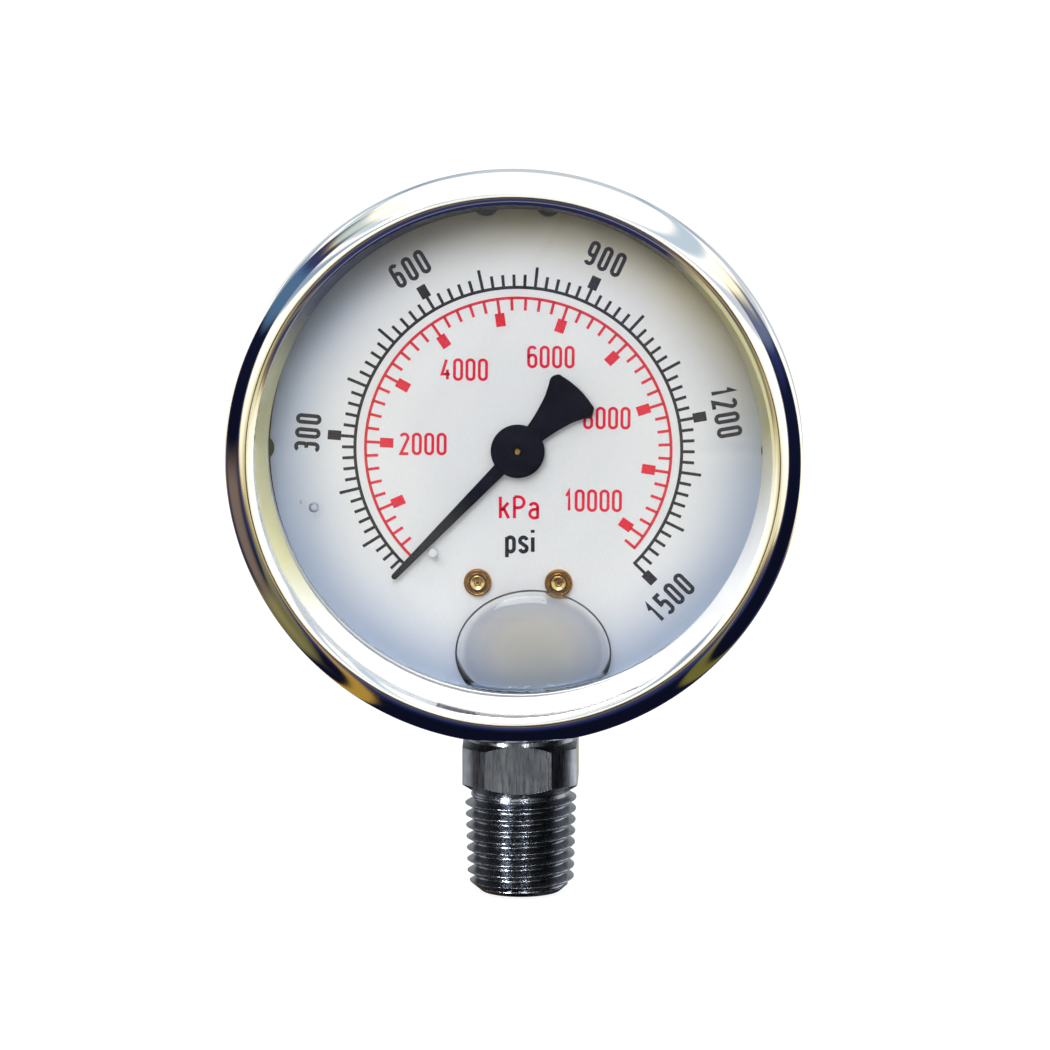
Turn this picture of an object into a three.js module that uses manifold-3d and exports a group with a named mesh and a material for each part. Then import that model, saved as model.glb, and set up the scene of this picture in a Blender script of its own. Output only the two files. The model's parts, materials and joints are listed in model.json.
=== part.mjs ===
// Liquid-filled Bourdon-tube pressure gauge, 63 mm class, with a threaded stem below.
// Millimetres. +X right, +Y away from the reader (the dial faces -Y), +Z up.
// The origin is on the stem's axis, at the end face of the thread.
import * as THREE from 'three';
import { mergeVertices } from 'three/addons/utils/BufferGeometryUtils.js';
import Module from 'manifold-3d';

const wasm = await Module();
wasm.setup();

// ---------------------------------------------------------------- driving dimensions

const RING = 48; // facets round the large rings
const SMALL = 14; // facets round the small turned parts

const spindleZ = 56.0; // height of the pointer's axis
const caseZ = 56.4; // height of the case's axis
const bezelR = 34.5;
const crestR = 32.4;
const lipR = 30.0;
const caseR = 30.9;
const caseWall = 0.7;
const flangeR = 32.9;

// depths along the gauge's axis, from the front to the back
const crestY = -19.0;
const shoulderY = -16.6;
const lipY = -11.4;
const windowFrontY = -11.35;
const windowThick = 2.2;
const gasketThick = 0.9;
const flangeY = -8.15;
const flangeThick = 0.7;
const crimpY = -6.6;
const hubFrontY = -8.6;
const dialFrontY = -6.7;
const dialThick = 0.6;
const backY = 12.0;
const seat = 0.05; // gap between two pieces that rest on each other
const runningGap = 0.05; // radial clearance of a shaft in its hole

const windowR = 32.8;
const dialR = 29.8;

// stem
const pitch = 25.4 / 18;
const threadEndR = 6.5; // crest radius at the end face
const threadTaper = 1 / 32; // radius gained per unit of height
const threadDepth = 1.0;
const threadTurns = 8.5;
const threadFacets = 16; // per turn, the same on the core and on the ridge
const flatHalf = 7.0;
const cornerR = 8.1;
const wrenchLow = 13.9;
const wrenchHigh = 18.45;
const collarTop = 22.9;
const neckR = 5.2;
const boreR = 2.2;
const boreDepth = 9.5;

// pointer train
const module_ = 0.2;
const pinionTeeth = 12;
const wheelTeeth = 144;
const pinionR = (module_ * pinionTeeth) / 2;
const wheelR = (module_ * wheelTeeth) / 2;
const meshAngle = THREE.MathUtils.degToRad(-48); // from the spindle to the sector's shaft
const sectorX = (pinionR + wheelR) * Math.cos(meshAngle);
const sectorZ = spindleZ + (pinionR + wheelR) * Math.sin(meshAngle);
const tailR = 6.81;
const tailAngle = THREE.MathUtils.degToRad(-28.33);
const tailX = sectorX + tailR * Math.cos(tailAngle);
const tailZ = sectorZ + tailR * Math.sin(tailAngle);
const tipPinX = 20.0;
const tipPinZ = 46.0;
const restAngle = THREE.MathUtils.degToRad(226); // pointer on its stop pin
const zeroAngle = THREE.MathUtils.degToRad(230.7);

const frontPlateY = -4.9;
const backPlateY = 1.5;
const plateThick = 0.8;
const pillars = { upper_left: [-6.5, 61], upper_right: [12.5, 57], lower_left: [-5, 45.5] };
const dialScrewX = 4.9;
const dialScrewZ = 39.7;
const dialScrewR = 1.75;
const movementScrews = { left: [-1.2, 44.9], right: [5.0, 44.9] };
const socketScrewTilt = THREE.MathUtils.degToRad(17.9);

// bourdon tube
const tubeR = 23;
const tubeY = 2.5;
const tubeWide = 8;
const tubeThick = 3;
const tubeWall = 0.6;
const tubeStart = THREE.MathUtils.degToRad(-104);
const tubeEnd = THREE.MathUtils.degToRad(-380);

// ---------------------------------------------------------------- materials

function metal(color, roughness) {
  return new THREE.MeshStandardMaterial({ color, roughness, metalness: 1 });
}

function plain(color, roughness) {
  return new THREE.MeshStandardMaterial({ color, roughness, metalness: 0 });
}

const polished = metal(0xdcdde0, 0.08);
const satinSteel = metal(0xb4b6ba, 0.35);
const nickel = metal(0x83868c, 0.3);
const brass = metal(0xb8914a, 0.35);
const springMetal = metal(0xc9b07a, 0.3);
const glass = new THREE.MeshStandardMaterial({ color: 0xeef3f5, roughness: 0.05, transparent: true, opacity: 0.3 });
const rubber = plain(0x1c1c1e, 0.8);
const dialWhite = plain(0xd4d8de, 0.45);
const pinWhite = plain(0xe6e9ee, 0.4);
const ink = plain(0x16182a, 0.4);

// ---------------------------------------------------------------- geometry helpers

// Welds a geometry into an indexed mesh without needles, with its faces pointing out.
function welded(geometry) {
  geometry.deleteAttribute('normal');
  geometry.deleteAttribute('uv');
  const merged = mergeVertices(geometry, 1e-4);
  const source = merged.index.array;
  const position = merged.attributes.position;
  const corner = [new THREE.Vector3(), new THREE.Vector3(), new THREE.Vector3()];
  const kept = [];
  let volume = 0;
  for (let i = 0; i < source.length; i += 3) {
    const triangle = [source[i], source[i + 1], source[i + 2]];
    if (new Set(triangle).size < 3) continue;
    triangle.forEach((vertex, k) => corner[k].fromBufferAttribute(position, vertex));
    volume += corner[0].dot(corner[1].clone().cross(corner[2]));
    kept.push(triangle);
  }
  if (volume < 0) kept.forEach((triangle) => triangle.reverse());
  merged.setIndex(kept.flat());
  return merged;
}

function solid(geometry) {
  const clean = welded(geometry);
  return new wasm.Manifold(
    new wasm.Mesh({
      numProp: 3,
      vertProperties: new Float32Array(clean.attributes.position.array),
      triVerts: new Uint32Array(clean.index.array),
    }),
  );
}

function surface(manifold) {
  const mesh = manifold.getMesh();
  const geometry = new THREE.BufferGeometry();
  geometry.setAttribute('position', new THREE.BufferAttribute(mesh.vertProperties, 3));
  geometry.setIndex(Array.from(mesh.triVerts));
  return geometry;
}

function joined(...pieces) {
  return pieces.reduce((whole, piece) => whole.add(piece));
}

function cut(whole, ...tools) {
  return tools.reduce((rest, tool) => rest.subtract(tool), whole);
}

// A turned solid about the Y axis through (x, z). The profile is a list of [radius, y].
function turnedY(profile, x = 0, z = 0, facets = SMALL) {
  const points = profile.map(([radius, y]) => new THREE.Vector2(radius, y));
  return solid(new THREE.LatheGeometry(points, facets).translate(x, 0, z));
}

// A turned solid about the Z axis through (x, y). The profile is a list of [radius, z].
function turnedZ(profile, x = 0, y = 0, facets = SMALL) {
  const points = profile.map(([radius, z]) => new THREE.Vector2(radius, z));
  return solid(new THREE.LatheGeometry(points, facets).rotateX(Math.PI / 2).translate(x, y, 0));
}

function closedRing(profile) {
  return [...profile, profile[0]];
}

function rodY(radius, y0, y1, x = 0, z = 0, facets = SMALL) {
  return turnedY([[0, y0], [radius, y0], [radius, y1], [0, y1]], x, z, facets);
}

function rodZ(radius, z0, z1, x = 0, y = 0, facets = SMALL) {
  return turnedZ([[0, z0], [radius, z0], [radius, z1], [0, z1]], x, y, facets);
}

function block(low, high) {
  const size = high.map((value, axis) => value - low[axis]);
  const middle = high.map((value, axis) => (value + low[axis]) / 2);
  return solid(new THREE.BoxGeometry(...size).translate(...middle));
}

// A flat plate: a shape drawn in X and Z, from y0 to y1.
function plate(shape, y0, y1, facets = 6) {
  const options = { depth: y1 - y0, bevelEnabled: false, curveSegments: facets };
  return solid(new THREE.ExtrudeGeometry(shape, options).rotateX(Math.PI / 2).translate(0, y1, 0));
}

// The outline round a convex counter-clockwise list of [x, z, radius] circles.
function roundedHull(circles) {
  const shape = new THREE.Shape();
  const count = circles.length;
  const normalAngle = (from, to) => Math.atan2(to[1] - from[1], to[0] - from[0]) - Math.PI / 2;
  circles.forEach((circle, i) => {
    const before = circles[(i + count - 1) % count];
    const after = circles[(i + 1) % count];
    const start = normalAngle(before, circle);
    let end = normalAngle(circle, after);
    if (end < start) end += 2 * Math.PI;
    shape.absarc(circle[0], circle[1], circle[2], start, end, false);
  });
  shape.closePath();
  return shape;
}

// A solid swept round an axis: a section in (radial, along) is extruded and then wrapped.
function wrapped(section, turn, steps, place) {
  const options = { depth: 1, steps, bevelEnabled: false, curveSegments: 3 };
  const geometry = new THREE.ExtrudeGeometry(section, options);
  const position = geometry.attributes.position;
  for (let i = 0; i < position.count; i += 1) {
    const angle = turn * position.getZ(i);
    position.setXYZ(i, ...place(position.getX(i), position.getY(i), angle));
  }
  return solid(geometry);
}

const model = new THREE.Group();
model.name = 'pressure_gauge';

function addPiece(name, shape, material, parent = model) {
  const mesh = new THREE.Mesh(surface(shape), material);
  mesh.name = name;
  parent.add(mesh);
}

// A slotted cheese-head screw along Y, head to the front, its seat at headY.
function slottedScrew(headR, headHigh, shankR, shankLong, headY, x, z) {
  const edge = 0.15;
  const body = turnedY(
    [
      [0, headY - headHigh],
      [headR - edge, headY - headHigh],
      [headR, headY - headHigh + edge],
      [headR, headY],
      [shankR, headY],
      [shankR, headY + shankLong],
      [0, headY + shankLong],
    ],
    x,
    z,
  );
  const slotHalf = headR * 0.16;
  const slot = block(
    [x - 2 * headR, headY - 2 * headHigh, z - slotHalf],
    [x + 2 * headR, headY - headHigh * 0.5, z + slotHalf],
  );
  return cut(body, slot);
}

// ---------------------------------------------------------------- housing

function buildCase() {
  const inner = caseR - caseWall;
  const corner = 3;
  const shell = turnedY(
    [
      [0, backY],
      [caseR - corner, backY],
      [caseR - 0.3 * corner, backY - 0.3 * corner],
      [caseR, backY - corner],
      [caseR, flangeY + flangeThick],
      [flangeR, flangeY + flangeThick],
      [flangeR, flangeY],
      [inner, flangeY],
      [inner, backY - corner],
      [inner - 0.3 * corner, backY - caseWall - 0.3 * corner],
      [inner - corner, backY - caseWall],
      [0, backY - caseWall],
    ],
    0,
    caseZ,
    RING,
  );
  const stemHole = rodZ(neckR + 0.1, caseZ - caseR - 3, caseZ - caseR + 5);
  const plugHole = rodZ(4.6, caseZ + caseR - 5, caseZ + caseR + 3);
  const screwHoles = [-1, 1].map((side) => tiltedRod(1.4, side));
  addPiece('case', cut(shell, stemHole, plugHole, ...screwHoles), satinSteel);
}

// A rod through the lower case wall, pointing at the case's axis.
function tiltedRod(radius, side) {
  const points = [[0, -36], [radius, -36], [radius, -24], [0, -24]];
  const geometry = new THREE.LatheGeometry(points.map(([r, z]) => new THREE.Vector2(r, z)), SMALL);
  geometry.rotateX(Math.PI / 2).rotateY(side * socketScrewTilt).translate(0, 0, caseZ);
  return solid(geometry);
}

function buildBezel() {
  const sheet = 0.7;
  const crestRound = 1.6;
  const crest = [];
  const arcSteps = 4;
  for (let i = 0; i <= arcSteps; i += 1) {
    const angle = (Math.PI / 2) * (i / arcSteps);
    const across = bezelR - crestR;
    const deep = shoulderY - crestY;
    crest.push([crestR + across * Math.sin(angle), shoulderY - deep * Math.cos(angle)]);
  }
  const outside = [
    [lipR, lipY],
    [lipR, lipY - 0.5],
    [lipR + 0.35, lipY - 0.8],
    [crestR - crestRound * 0.75, crestY + crestRound * 0.85],
    [crestR - crestRound * 0.45, crestY + crestRound * 0.28],
    ...crest,
    [bezelR, -10.8],
    [bezelR - 0.5, -8.4],
    [bezelR - 1.4, crimpY - 0.3],
    [bezelR - 3.2, crimpY],
  ];
  const inside = [
    [bezelR - 3.2, crimpY - sheet],
    [bezelR - 1.6, crimpY - sheet - 0.05],
    [bezelR - 1.2, -8.7],
    [bezelR - sheet, -10.9],
    [bezelR - sheet, shoulderY],
    [crestR + 0.6, crestY + 1.2],
    [crestR - 0.2, crestY + 1.0],
    [lipR + 1.4, lipY],
  ];
  addPiece('bezel_ring', turnedY(closedRing([...outside, ...inside]), 0, caseZ, RING), polished);
}

function buildWindow() {
  const bevel = 0.3;
  const back = windowFrontY + windowThick;
  const profile = [
    [0, windowFrontY],
    [windowR - bevel, windowFrontY],
    [windowR, windowFrontY + bevel],
    [windowR, back],
    [0, back],
  ];
  addPiece('window', turnedY(profile, 0, caseZ, RING), glass);
  const ringFront = back + seat;
  const ring = [
    [caseR - caseWall + 0.1, ringFront],
    [windowR - 0.1, ringFront],
    [windowR - 0.1, ringFront + gasketThick],
    [caseR - caseWall + 0.1, ringFront + gasketThick],
  ];
  addPiece('window_gasket', turnedY(closedRing(ring), 0, caseZ, RING), rubber);
}

function buildFillPlug() {
  const holeR = 4.6;
  const headLow = caseZ + caseR + seat;
  const profile = [
    [0, headLow - 3.5],
    [holeR - 0.6, headLow - 3.5],
    [holeR - 0.1, headLow - 2.6],
    [holeR - 0.1, headLow],
    [5.6, headLow],
    [5.6, headLow + 0.55],
    [5.3, headLow + 0.75],
    [0, headLow + 0.75],
  ];
  addPiece('fill_plug', turnedZ(profile), rubber);
}

// ---------------------------------------------------------------- dial and pointer

function buildDial() {
  const back = dialFrontY + dialThick;
  const disc = turnedY([[0, dialFrontY], [dialR, dialFrontY], [dialR, back], [0, back]], 0, spindleZ, RING);
  const notchR = 1.7;
  const notches = [[-3.9, 30.0], [3.7, 30.0], [-31.0, 0], [30.8, 0]];
  const holes = notches.map(([x, z]) => rodY(notchR, dialFrontY - 1, back + 1, x, spindleZ + z));
  holes.push(rodY(2.0, dialFrontY - 1, back + 1, 0, spindleZ));
  for (const side of [-1, 1]) {
    holes.push(rodY(1.15, dialFrontY - 1, back + 1, side * dialScrewX, dialScrewZ));
  }
  const [pinX, pinZ] = stopPinPlace();
  holes.push(rodY(0.5, dialFrontY - 1, back + 1, pinX, pinZ));
  addPiece('dial', cut(disc, ...holes), dialWhite);
}

function stopPinPlace() {
  const distance = 16.2;
  return [distance * Math.cos(zeroAngle), spindleZ + distance * Math.sin(zeroAngle)];
}

function buildStopPin() {
  const [x, z] = stopPinPlace();
  const profile = [
    [0, hubFrontY],
    [0.4, hubFrontY],
    [0.55, hubFrontY + 0.15],
    [0.55, dialFrontY - seat],
    [0.45, dialFrontY - seat],
    [0.45, dialFrontY + dialThick],
    [0, dialFrontY + dialThick],
  ];
  addPiece('stop_pin', turnedY(profile, x, z, 12), pinWhite);
}

// A flanged head with a raised boss and a hexagonal socket in it.
function dialScrew(x, z) {
  const seatY = dialFrontY - seat;
  const flangeHigh = 0.35;
  const headHigh = 0.9;
  const shankLong = 4.2;
  const body = turnedY(
    [
      [0, seatY - headHigh],
      [1.0, seatY - headHigh],
      [1.15, seatY - headHigh + 0.15],
      [1.15, seatY - flangeHigh],
      [dialScrewR - 0.1, seatY - flangeHigh],
      [dialScrewR, seatY - flangeHigh + 0.1],
      [dialScrewR, seatY],
      [1.0, seatY],
      [1.0, seatY + shankLong],
      [0, seatY + shankLong],
    ],
    x,
    z,
  );
  const socketDeep = 0.5;
  return cut(body, rodY(0.5, seatY - 2 * headHigh, seatY - headHigh + socketDeep, x, z, 6));
}

function buildDialScrews() {
  addPiece('dial_screw_left', dialScrew(-dialScrewX, dialScrewZ), brass);
  addPiece('dial_screw_right', dialScrew(dialScrewX, dialScrewZ), brass);
}

// The blade and tail lie along +X before the turn to the rest angle.
function pointerOutline() {
  const shape = new THREE.Shape();
  const tip = 21.9;
  const tipHalf = 0.36;
  shape.moveTo(-8.6, 3.05);
  shape.quadraticCurveTo(-9.2, 3.55, -9.8, 3.2);
  shape.quadraticCurveTo(-10.35, 2.95, -10.3, 2.5);
  shape.quadraticCurveTo(-10.75, 0, -10.3, -2.5);
  shape.quadraticCurveTo(-10.35, -2.95, -9.8, -3.2);
  shape.quadraticCurveTo(-9.2, -3.55, -8.6, -3.05);
  shape.lineTo(-7.2, -2.35);
  shape.quadraticCurveTo(-4.6, -1.45, -2.4, -1.2);
  shape.lineTo(2.0, -0.85);
  shape.lineTo(tip - tipHalf, -tipHalf);
  shape.absarc(tip - tipHalf, 0, tipHalf, -Math.PI / 2, Math.PI / 2, false);
  shape.lineTo(2.0, 0.85);
  shape.lineTo(-2.4, 1.2);
  shape.quadraticCurveTo(-4.6, 1.45, -7.2, 2.35);
  shape.closePath();
  return shape;
}

// The same outline, turned about the spindle to where the pointer rests.
function placedOutline(shape, angle, x, z, facets) {
  const centre = new THREE.Vector2(0, 0);
  const offset = new THREE.Vector2(x, z);
  return new THREE.Shape(shape.getPoints(facets).map((point) => point.rotateAround(centre, angle).add(offset)));
}

function buildPointer() {
  const hubHigh = 0.55;
  const bladeThick = 0.4;
  const collarLong = 0.6;
  const bladeFront = hubFrontY + hubHigh;
  const bladeBack = bladeFront + bladeThick;
  const blade = plate(placedOutline(pointerOutline(), restAngle, 0, spindleZ, 4), bladeFront, bladeBack);
  const eye = rodY(2.6, bladeFront, bladeBack, 0, spindleZ);
  const eyeHole = rodY(1.45, bladeFront - 1, bladeBack + 1, 0, spindleZ);
  addPiece('pointer', cut(joined(blade, eye), eyeHole), ink);
  const hub = [
    [0.45, hubFrontY],
    [3.1, hubFrontY],
    [3.27, hubFrontY + 0.15],
    [3.27, bladeFront - seat],
    [1.4, bladeFront - seat],
    [1.4, bladeBack + collarLong],
    [0.45, bladeBack + collarLong],
  ];
  addPiece('pointer_hub', turnedY(closedRing(hub), 0, spindleZ, 36), ink);
}

// ---------------------------------------------------------------- movement

// Twelve involute teeth, with one space facing the sector's shaft.
function pinionOutline() {
  const pressure = THREE.MathUtils.degToRad(20);
  const baseR = pinionR * Math.cos(pressure);
  const tipR = pinionR + 0.85 * module_;
  const rootR = pinionR - 1.15 * module_;
  const backlash = 0.02;
  const involute = (angle) => Math.tan(angle) - angle;
  const halfAngle = (radius) => {
    const local = Math.acos(Math.min(1, baseR / radius));
    return Math.PI / (2 * pinionTeeth) - backlash / pinionR + involute(pressure) - involute(local);
  };
  const radii = [rootR, baseR, pinionR, tipR];
  const shape = [];
  for (let tooth = 0; tooth < pinionTeeth; tooth += 1) {
    const middle = meshAngle + ((tooth + 0.5) * 2 * Math.PI) / pinionTeeth;
    for (const radius of radii) shape.push([radius, middle - halfAngle(Math.max(radius, baseR))]);
    for (const radius of [...radii].reverse()) shape.push([radius, middle + halfAngle(Math.max(radius, baseR))]);
  }
  return new THREE.Shape(shape.map(([r, a]) => new THREE.Vector2(r * Math.cos(a), spindleZ + r * Math.sin(a))));
}

function buildPinionArbor() {
  const shaft = turnedY(
    [
      [0, hubFrontY - 0.15],
      [0.3, hubFrontY - 0.15],
      [0.4, hubFrontY],
      [0.4, -3.0],
      [0.8, -3.0],
      [0.8, -0.2],
      [0.4, -0.2],
      [0.4, backPlateY + plateThick + 0.3],
      [0, backPlateY + plateThick + 0.3],
    ],
    0,
    spindleZ,
  );
  const teeth = plate(pinionOutline(), -2.5, -0.5);
  addPiece('pinion_arbor', joined(shaft, teeth), brass);
}

// The toothed rim of the sector, drawn about the sector's shaft.
function sectorRim() {
  const towardPinion = meshAngle + Math.PI;
  const travelTeeth = 9;
  const marginTeeth = 2;
  const rootR = wheelR - 1.2 * module_;
  const tipR = wheelR + 0.65 * module_;
  const pressureSlope = Math.tan(THREE.MathUtils.degToRad(20));
  const pitchHalf = (Math.PI * module_) / 4 - 0.025;
  const tipHalf = pitchHalf - (tipR - wheelR) * pressureSlope;
  const rootHalf = pitchHalf + (wheelR - rootR) * pressureSlope;
  const rimInner = wheelR - 2.4;
  const step = (2 * Math.PI) / wheelTeeth;
  const outline = [];
  for (let tooth = -travelTeeth - marginTeeth; tooth <= marginTeeth; tooth += 1) {
    const middle = towardPinion + tooth * step;
    outline.push([rootR, middle - rootHalf / rootR], [tipR, middle - tipHalf / tipR]);
    outline.push([tipR, middle + tipHalf / tipR], [rootR, middle + rootHalf / rootR]);
  }
  const first = outline[0][1];
  const last = outline[outline.length - 1][1];
  const innerSteps = 4;
  for (let i = 0; i <= innerSteps; i += 1) outline.push([rimInner, last + ((first - last) * i) / innerSteps]);
  return { outline, first, last, rimInner };
}

function polarShape(outline, x, z) {
  return new THREE.Shape(outline.map(([r, a]) => new THREE.Vector2(x + r * Math.cos(a), z + r * Math.sin(a))));
}

function buildSector() {
  const y0 = -2.1;
  const y1 = -0.9;
  const rim = sectorRim();
  const hubR = 2.2;
  const armHalf = 0.8;
  const pieces = [plate(polarShape(rim.outline, sectorX, sectorZ), y0, y1)];
  for (const angle of [rim.first + 0.05, rim.last - 0.05]) {
    const reach = rim.rimInner + 0.5;
    const end = [sectorX + reach * Math.cos(angle), sectorZ + reach * Math.sin(angle), armHalf];
    pieces.push(plate(roundedHull([[sectorX, sectorZ, armHalf], end]), y0, y1));
  }
  pieces.push(plate(roundedHull([[sectorX, sectorZ, 1.4], [tailX, tailZ, 1.25]]), y0, y1));
  pieces.push(rodY(hubR, y0, y1, sectorX, sectorZ));
  const holes = [
    rodY(0.85, y0 - 1, y1 + 1, sectorX, sectorZ),
    rodY(0.5, y0 - 1, y1 + 1, tailX, tailZ, 12),
  ];
  addPiece('sector_gear', cut(joined(...pieces), ...holes), brass);
  const shoulder = 0.8;
  const pivot = 0.5;
  const arbor = [
    [0, frontPlateY - 0.1],
    [pivot, frontPlateY - 0.1],
    [pivot, frontPlateY + plateThick + seat],
    [shoulder, frontPlateY + plateThick + seat],
    [shoulder, backPlateY - seat],
    [pivot, backPlateY - seat],
    [pivot, backPlateY + plateThick + 0.1],
    [0, backPlateY + plateThick + 0.1],
  ];
  addPiece('sector_arbor', turnedY(arbor, sectorX, sectorZ), nickel);
}

function buildLink() {
  const y0 = -3.2;
  const y1 = -2.5;
  const clearance = 0.18;
  const pinR = 0.45;
  const strip = plate(roundedHull([[tipPinX, tipPinZ, 1.2], [tailX, tailZ, 1.2]]), y0, y1);
  const holes = [
    rodY(pinR + runningGap, y0 - 1, y1 + 1, tipPinX, tipPinZ, 12),
    rodY(pinR + clearance, y0 - 1, y1 + 1, tailX, tailZ, 12),
  ];
  addPiece('link', cut(strip, ...holes), brass);
  for (const [name, x, z] of [['tip_pin', tipPinX, tipPinZ], ['tail_pin', tailX, tailZ]]) {
    addPiece(name, slottedScrew(0.95, 0.45, pinR, 2.2, y0 - 0.1, x, z), nickel);
  }
}

function buildHairspring() {
  const y0 = -3.85;
  const thick = 0.16;
  const high = 0.5;
  const innerR = 1.35;
  const outerR = 4.4;
  const turns = 4;
  const section = new THREE.Shape();
  section.moveTo(0, 0);
  section.lineTo(thick, 0);
  section.lineTo(thick, high);
  section.lineTo(0, high);
  section.closePath();
  const spiral = (across, along, angle) => {
    const radius = innerR + ((outerR - innerR) * angle) / (2 * Math.PI * turns) + across;
    return [radius * Math.cos(angle), y0 + along, spindleZ + radius * Math.sin(angle)];
  };
  addPiece('hairspring', wrapped(section, 2 * Math.PI * turns, 18 * turns, spiral), springMetal);
  const collet = [[0.45, y0], [1.25, y0], [1.25, y0 + high], [0.45, y0 + high]];
  addPiece('hairspring_collet', turnedY(closedRing(collet), 0, spindleZ), brass);
  const stud = rodY(0.5, frontPlateY + plateThick + seat, y0 + high + 0.4, outerR + thick + 0.6, spindleZ, 12);
  addPiece('hairspring_stud', stud, brass);
}

function movementPlate(y0, pillarHoleR) {
  const [upperLeft, upperRight, lowerLeft] = Object.values(pillars);
  const round = 2.6;
  const outline = roundedHull([
    [...lowerLeft, round],
    [sectorX, sectorZ, round],
    [...upperRight, round],
    [...upperLeft, round],
  ]);
  const y1 = y0 + plateThick;
  const holes = [
    rodY(0.4 + runningGap, y0 - 1, y1 + 1, 0, spindleZ),
    rodY(0.5 + runningGap, y0 - 1, y1 + 1, sectorX, sectorZ),
    ...Object.values(pillars).map(([x, z]) => rodY(pillarHoleR, y0 - 1, y1 + 1, x, z)),
  ];
  return cut(plate(outline, y0, y1), ...holes);
}

function buildMovementFrame() {
  const tenonR = 0.8;
  addPiece('movement_front_plate', movementPlate(frontPlateY, tenonR + 0.1), brass);
  const backHoles = Object.values(movementScrews).map(([x, z]) =>
    rodY(0.85, backPlateY - 1, backPlateY + plateThick + 1, x, z));
  addPiece('movement_back_plate', cut(movementPlate(backPlateY, tenonR + runningGap), ...backHoles), brass);
  const front = frontPlateY + plateThick + seat;
  const back = backPlateY - seat;
  for (const [name, [x, z]] of Object.entries(pillars)) {
    const profile = [
      [0, front + 2.4],
      [0.75, front + 2.4],
      [0.75, front],
      [1.4, front],
      [1.4, back],
      [tenonR, back],
      [tenonR, backPlateY + plateThick],
      [0, backPlateY + plateThick],
    ];
    addPiece(`pillar_${name}`, turnedY(profile, x, z), brass);
    const screw = slottedScrew(1.3, 0.6, 0.65, 3.0, frontPlateY - seat, x, z);
    addPiece(`pillar_screw_${name}`, screw, nickel);
  }
  for (const [name, [x, z]] of Object.entries(movementScrews)) {
    const screw = slottedScrew(1.4, 0.7, 0.75, 3.4, backPlateY - seat, x, z);
    addPiece(`movement_screw_${name}`, screw, nickel);
  }
}

// ---------------------------------------------------------------- bourdon tube

// A flattened oval section of the tube, grown by the given amount.
function tubeSection(grow) {
  const shape = new THREE.Shape();
  const end = tubeThick / 2 + grow;
  const straight = (tubeWide - tubeThick) / 2;
  shape.absarc(0, straight, end, 0, Math.PI, false);
  shape.absarc(0, -straight, end, Math.PI, 2 * Math.PI, false);
  shape.closePath();
  return shape;
}

function tubeSweep(grow, from, to) {
  const stepsPerTurn = 40;
  const steps = Math.max(2, Math.round((Math.abs(to - from) / (2 * Math.PI)) * stepsPerTurn));
  const place = (across, along, angle) => {
    const radius = tubeR + across;
    return [radius * Math.cos(from + angle), tubeY + along, spindleZ + radius * Math.sin(from + angle)];
  };
  return wrapped(tubeSection(grow), to - from, steps, place);
}

function buildBourdonTube() {
  const hollow = tubeSweep(-tubeWall, tubeStart + 0.05, tubeEnd + 0.12);
  addPiece('bourdon_tube', cut(tubeSweep(0, tubeStart, tubeEnd), hollow), brass);
}

function buildTubeTip() {
  const gap = 0.25;
  const angle = tubeEnd - gap / tubeR;
  const along = 3.2;
  const y0 = -2.2;
  const y1 = tubeY + tubeWide / 2 + 0.2;
  const corner = (radial, tangent) => {
    const x = (tubeR + radial) * Math.cos(angle) + tangent * Math.sin(angle);
    const z = spindleZ + (tubeR + radial) * Math.sin(angle) - tangent * Math.cos(angle);
    return new THREE.Vector2(x, z);
  };
  const half = tubeThick / 2 + 0.3;
  const body = new THREE.Shape([corner(-half, 0), corner(-half, along), corner(half, along), corner(half, 0)]);
  const heel = corner(0, along / 2);
  const lug = roundedHull([[heel.x, heel.y, 1.3], [tipPinX, tipPinZ, 1.3]]);
  const hole = rodY(0.5, y0 - 1, y0 + 2, tipPinX, tipPinZ, 12);
  addPiece('tube_tip', cut(joined(plate(body, y0, y1), plate(lug, y0, y0 + 1)), hole), brass);
}

// ---------------------------------------------------------------- stem

function crestRadius(z) {
  return threadEndR + z * threadTaper;
}

function threadedCore() {
  const root = (z) => crestRadius(z) - threadDepth;
  const core = turnedZ([[0, 0], [root(0), 0], [root(wrenchLow), wrenchLow], [0, wrenchLow]], 0, 0, threadFacets);
  const section = new THREE.Shape();
  const overlap = 0.3;
  section.moveTo(-overlap, -pitch * 0.46);
  section.lineTo(0, -pitch * 0.46);
  section.lineTo(threadDepth, -0.07);
  section.lineTo(threadDepth, 0.07);
  section.lineTo(0, pitch * 0.46);
  section.lineTo(-overlap, pitch * 0.46);
  section.closePath();
  const crestAtFront = 0.31;
  const helix = (across, along, angle) => {
    const z = crestAtFront + along + (pitch * angle) / (2 * Math.PI);
    const radius = root(z) + across;
    return [radius * Math.cos(angle), radius * Math.sin(angle), z];
  };
  return joined(core, wrapped(section, 2 * Math.PI * threadTurns, threadFacets * threadTurns, helix));
}

function wrenchSection() {
  const turned = turnedZ(
    [
      [0, 12.0],
      [5.9, 12.0],
      [5.9, 12.5],
      [cornerR, wrenchLow],
      [cornerR, wrenchHigh],
      [flatHalf, wrenchHigh + 0.65],
      [flatHalf, collarTop],
      [0, collarTop],
    ],
    0,
    0,
    48,
  );
  return turned.intersect(block([-flatHalf, -flatHalf, 11], [flatHalf, flatHalf, collarTop + 1]));
}

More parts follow.
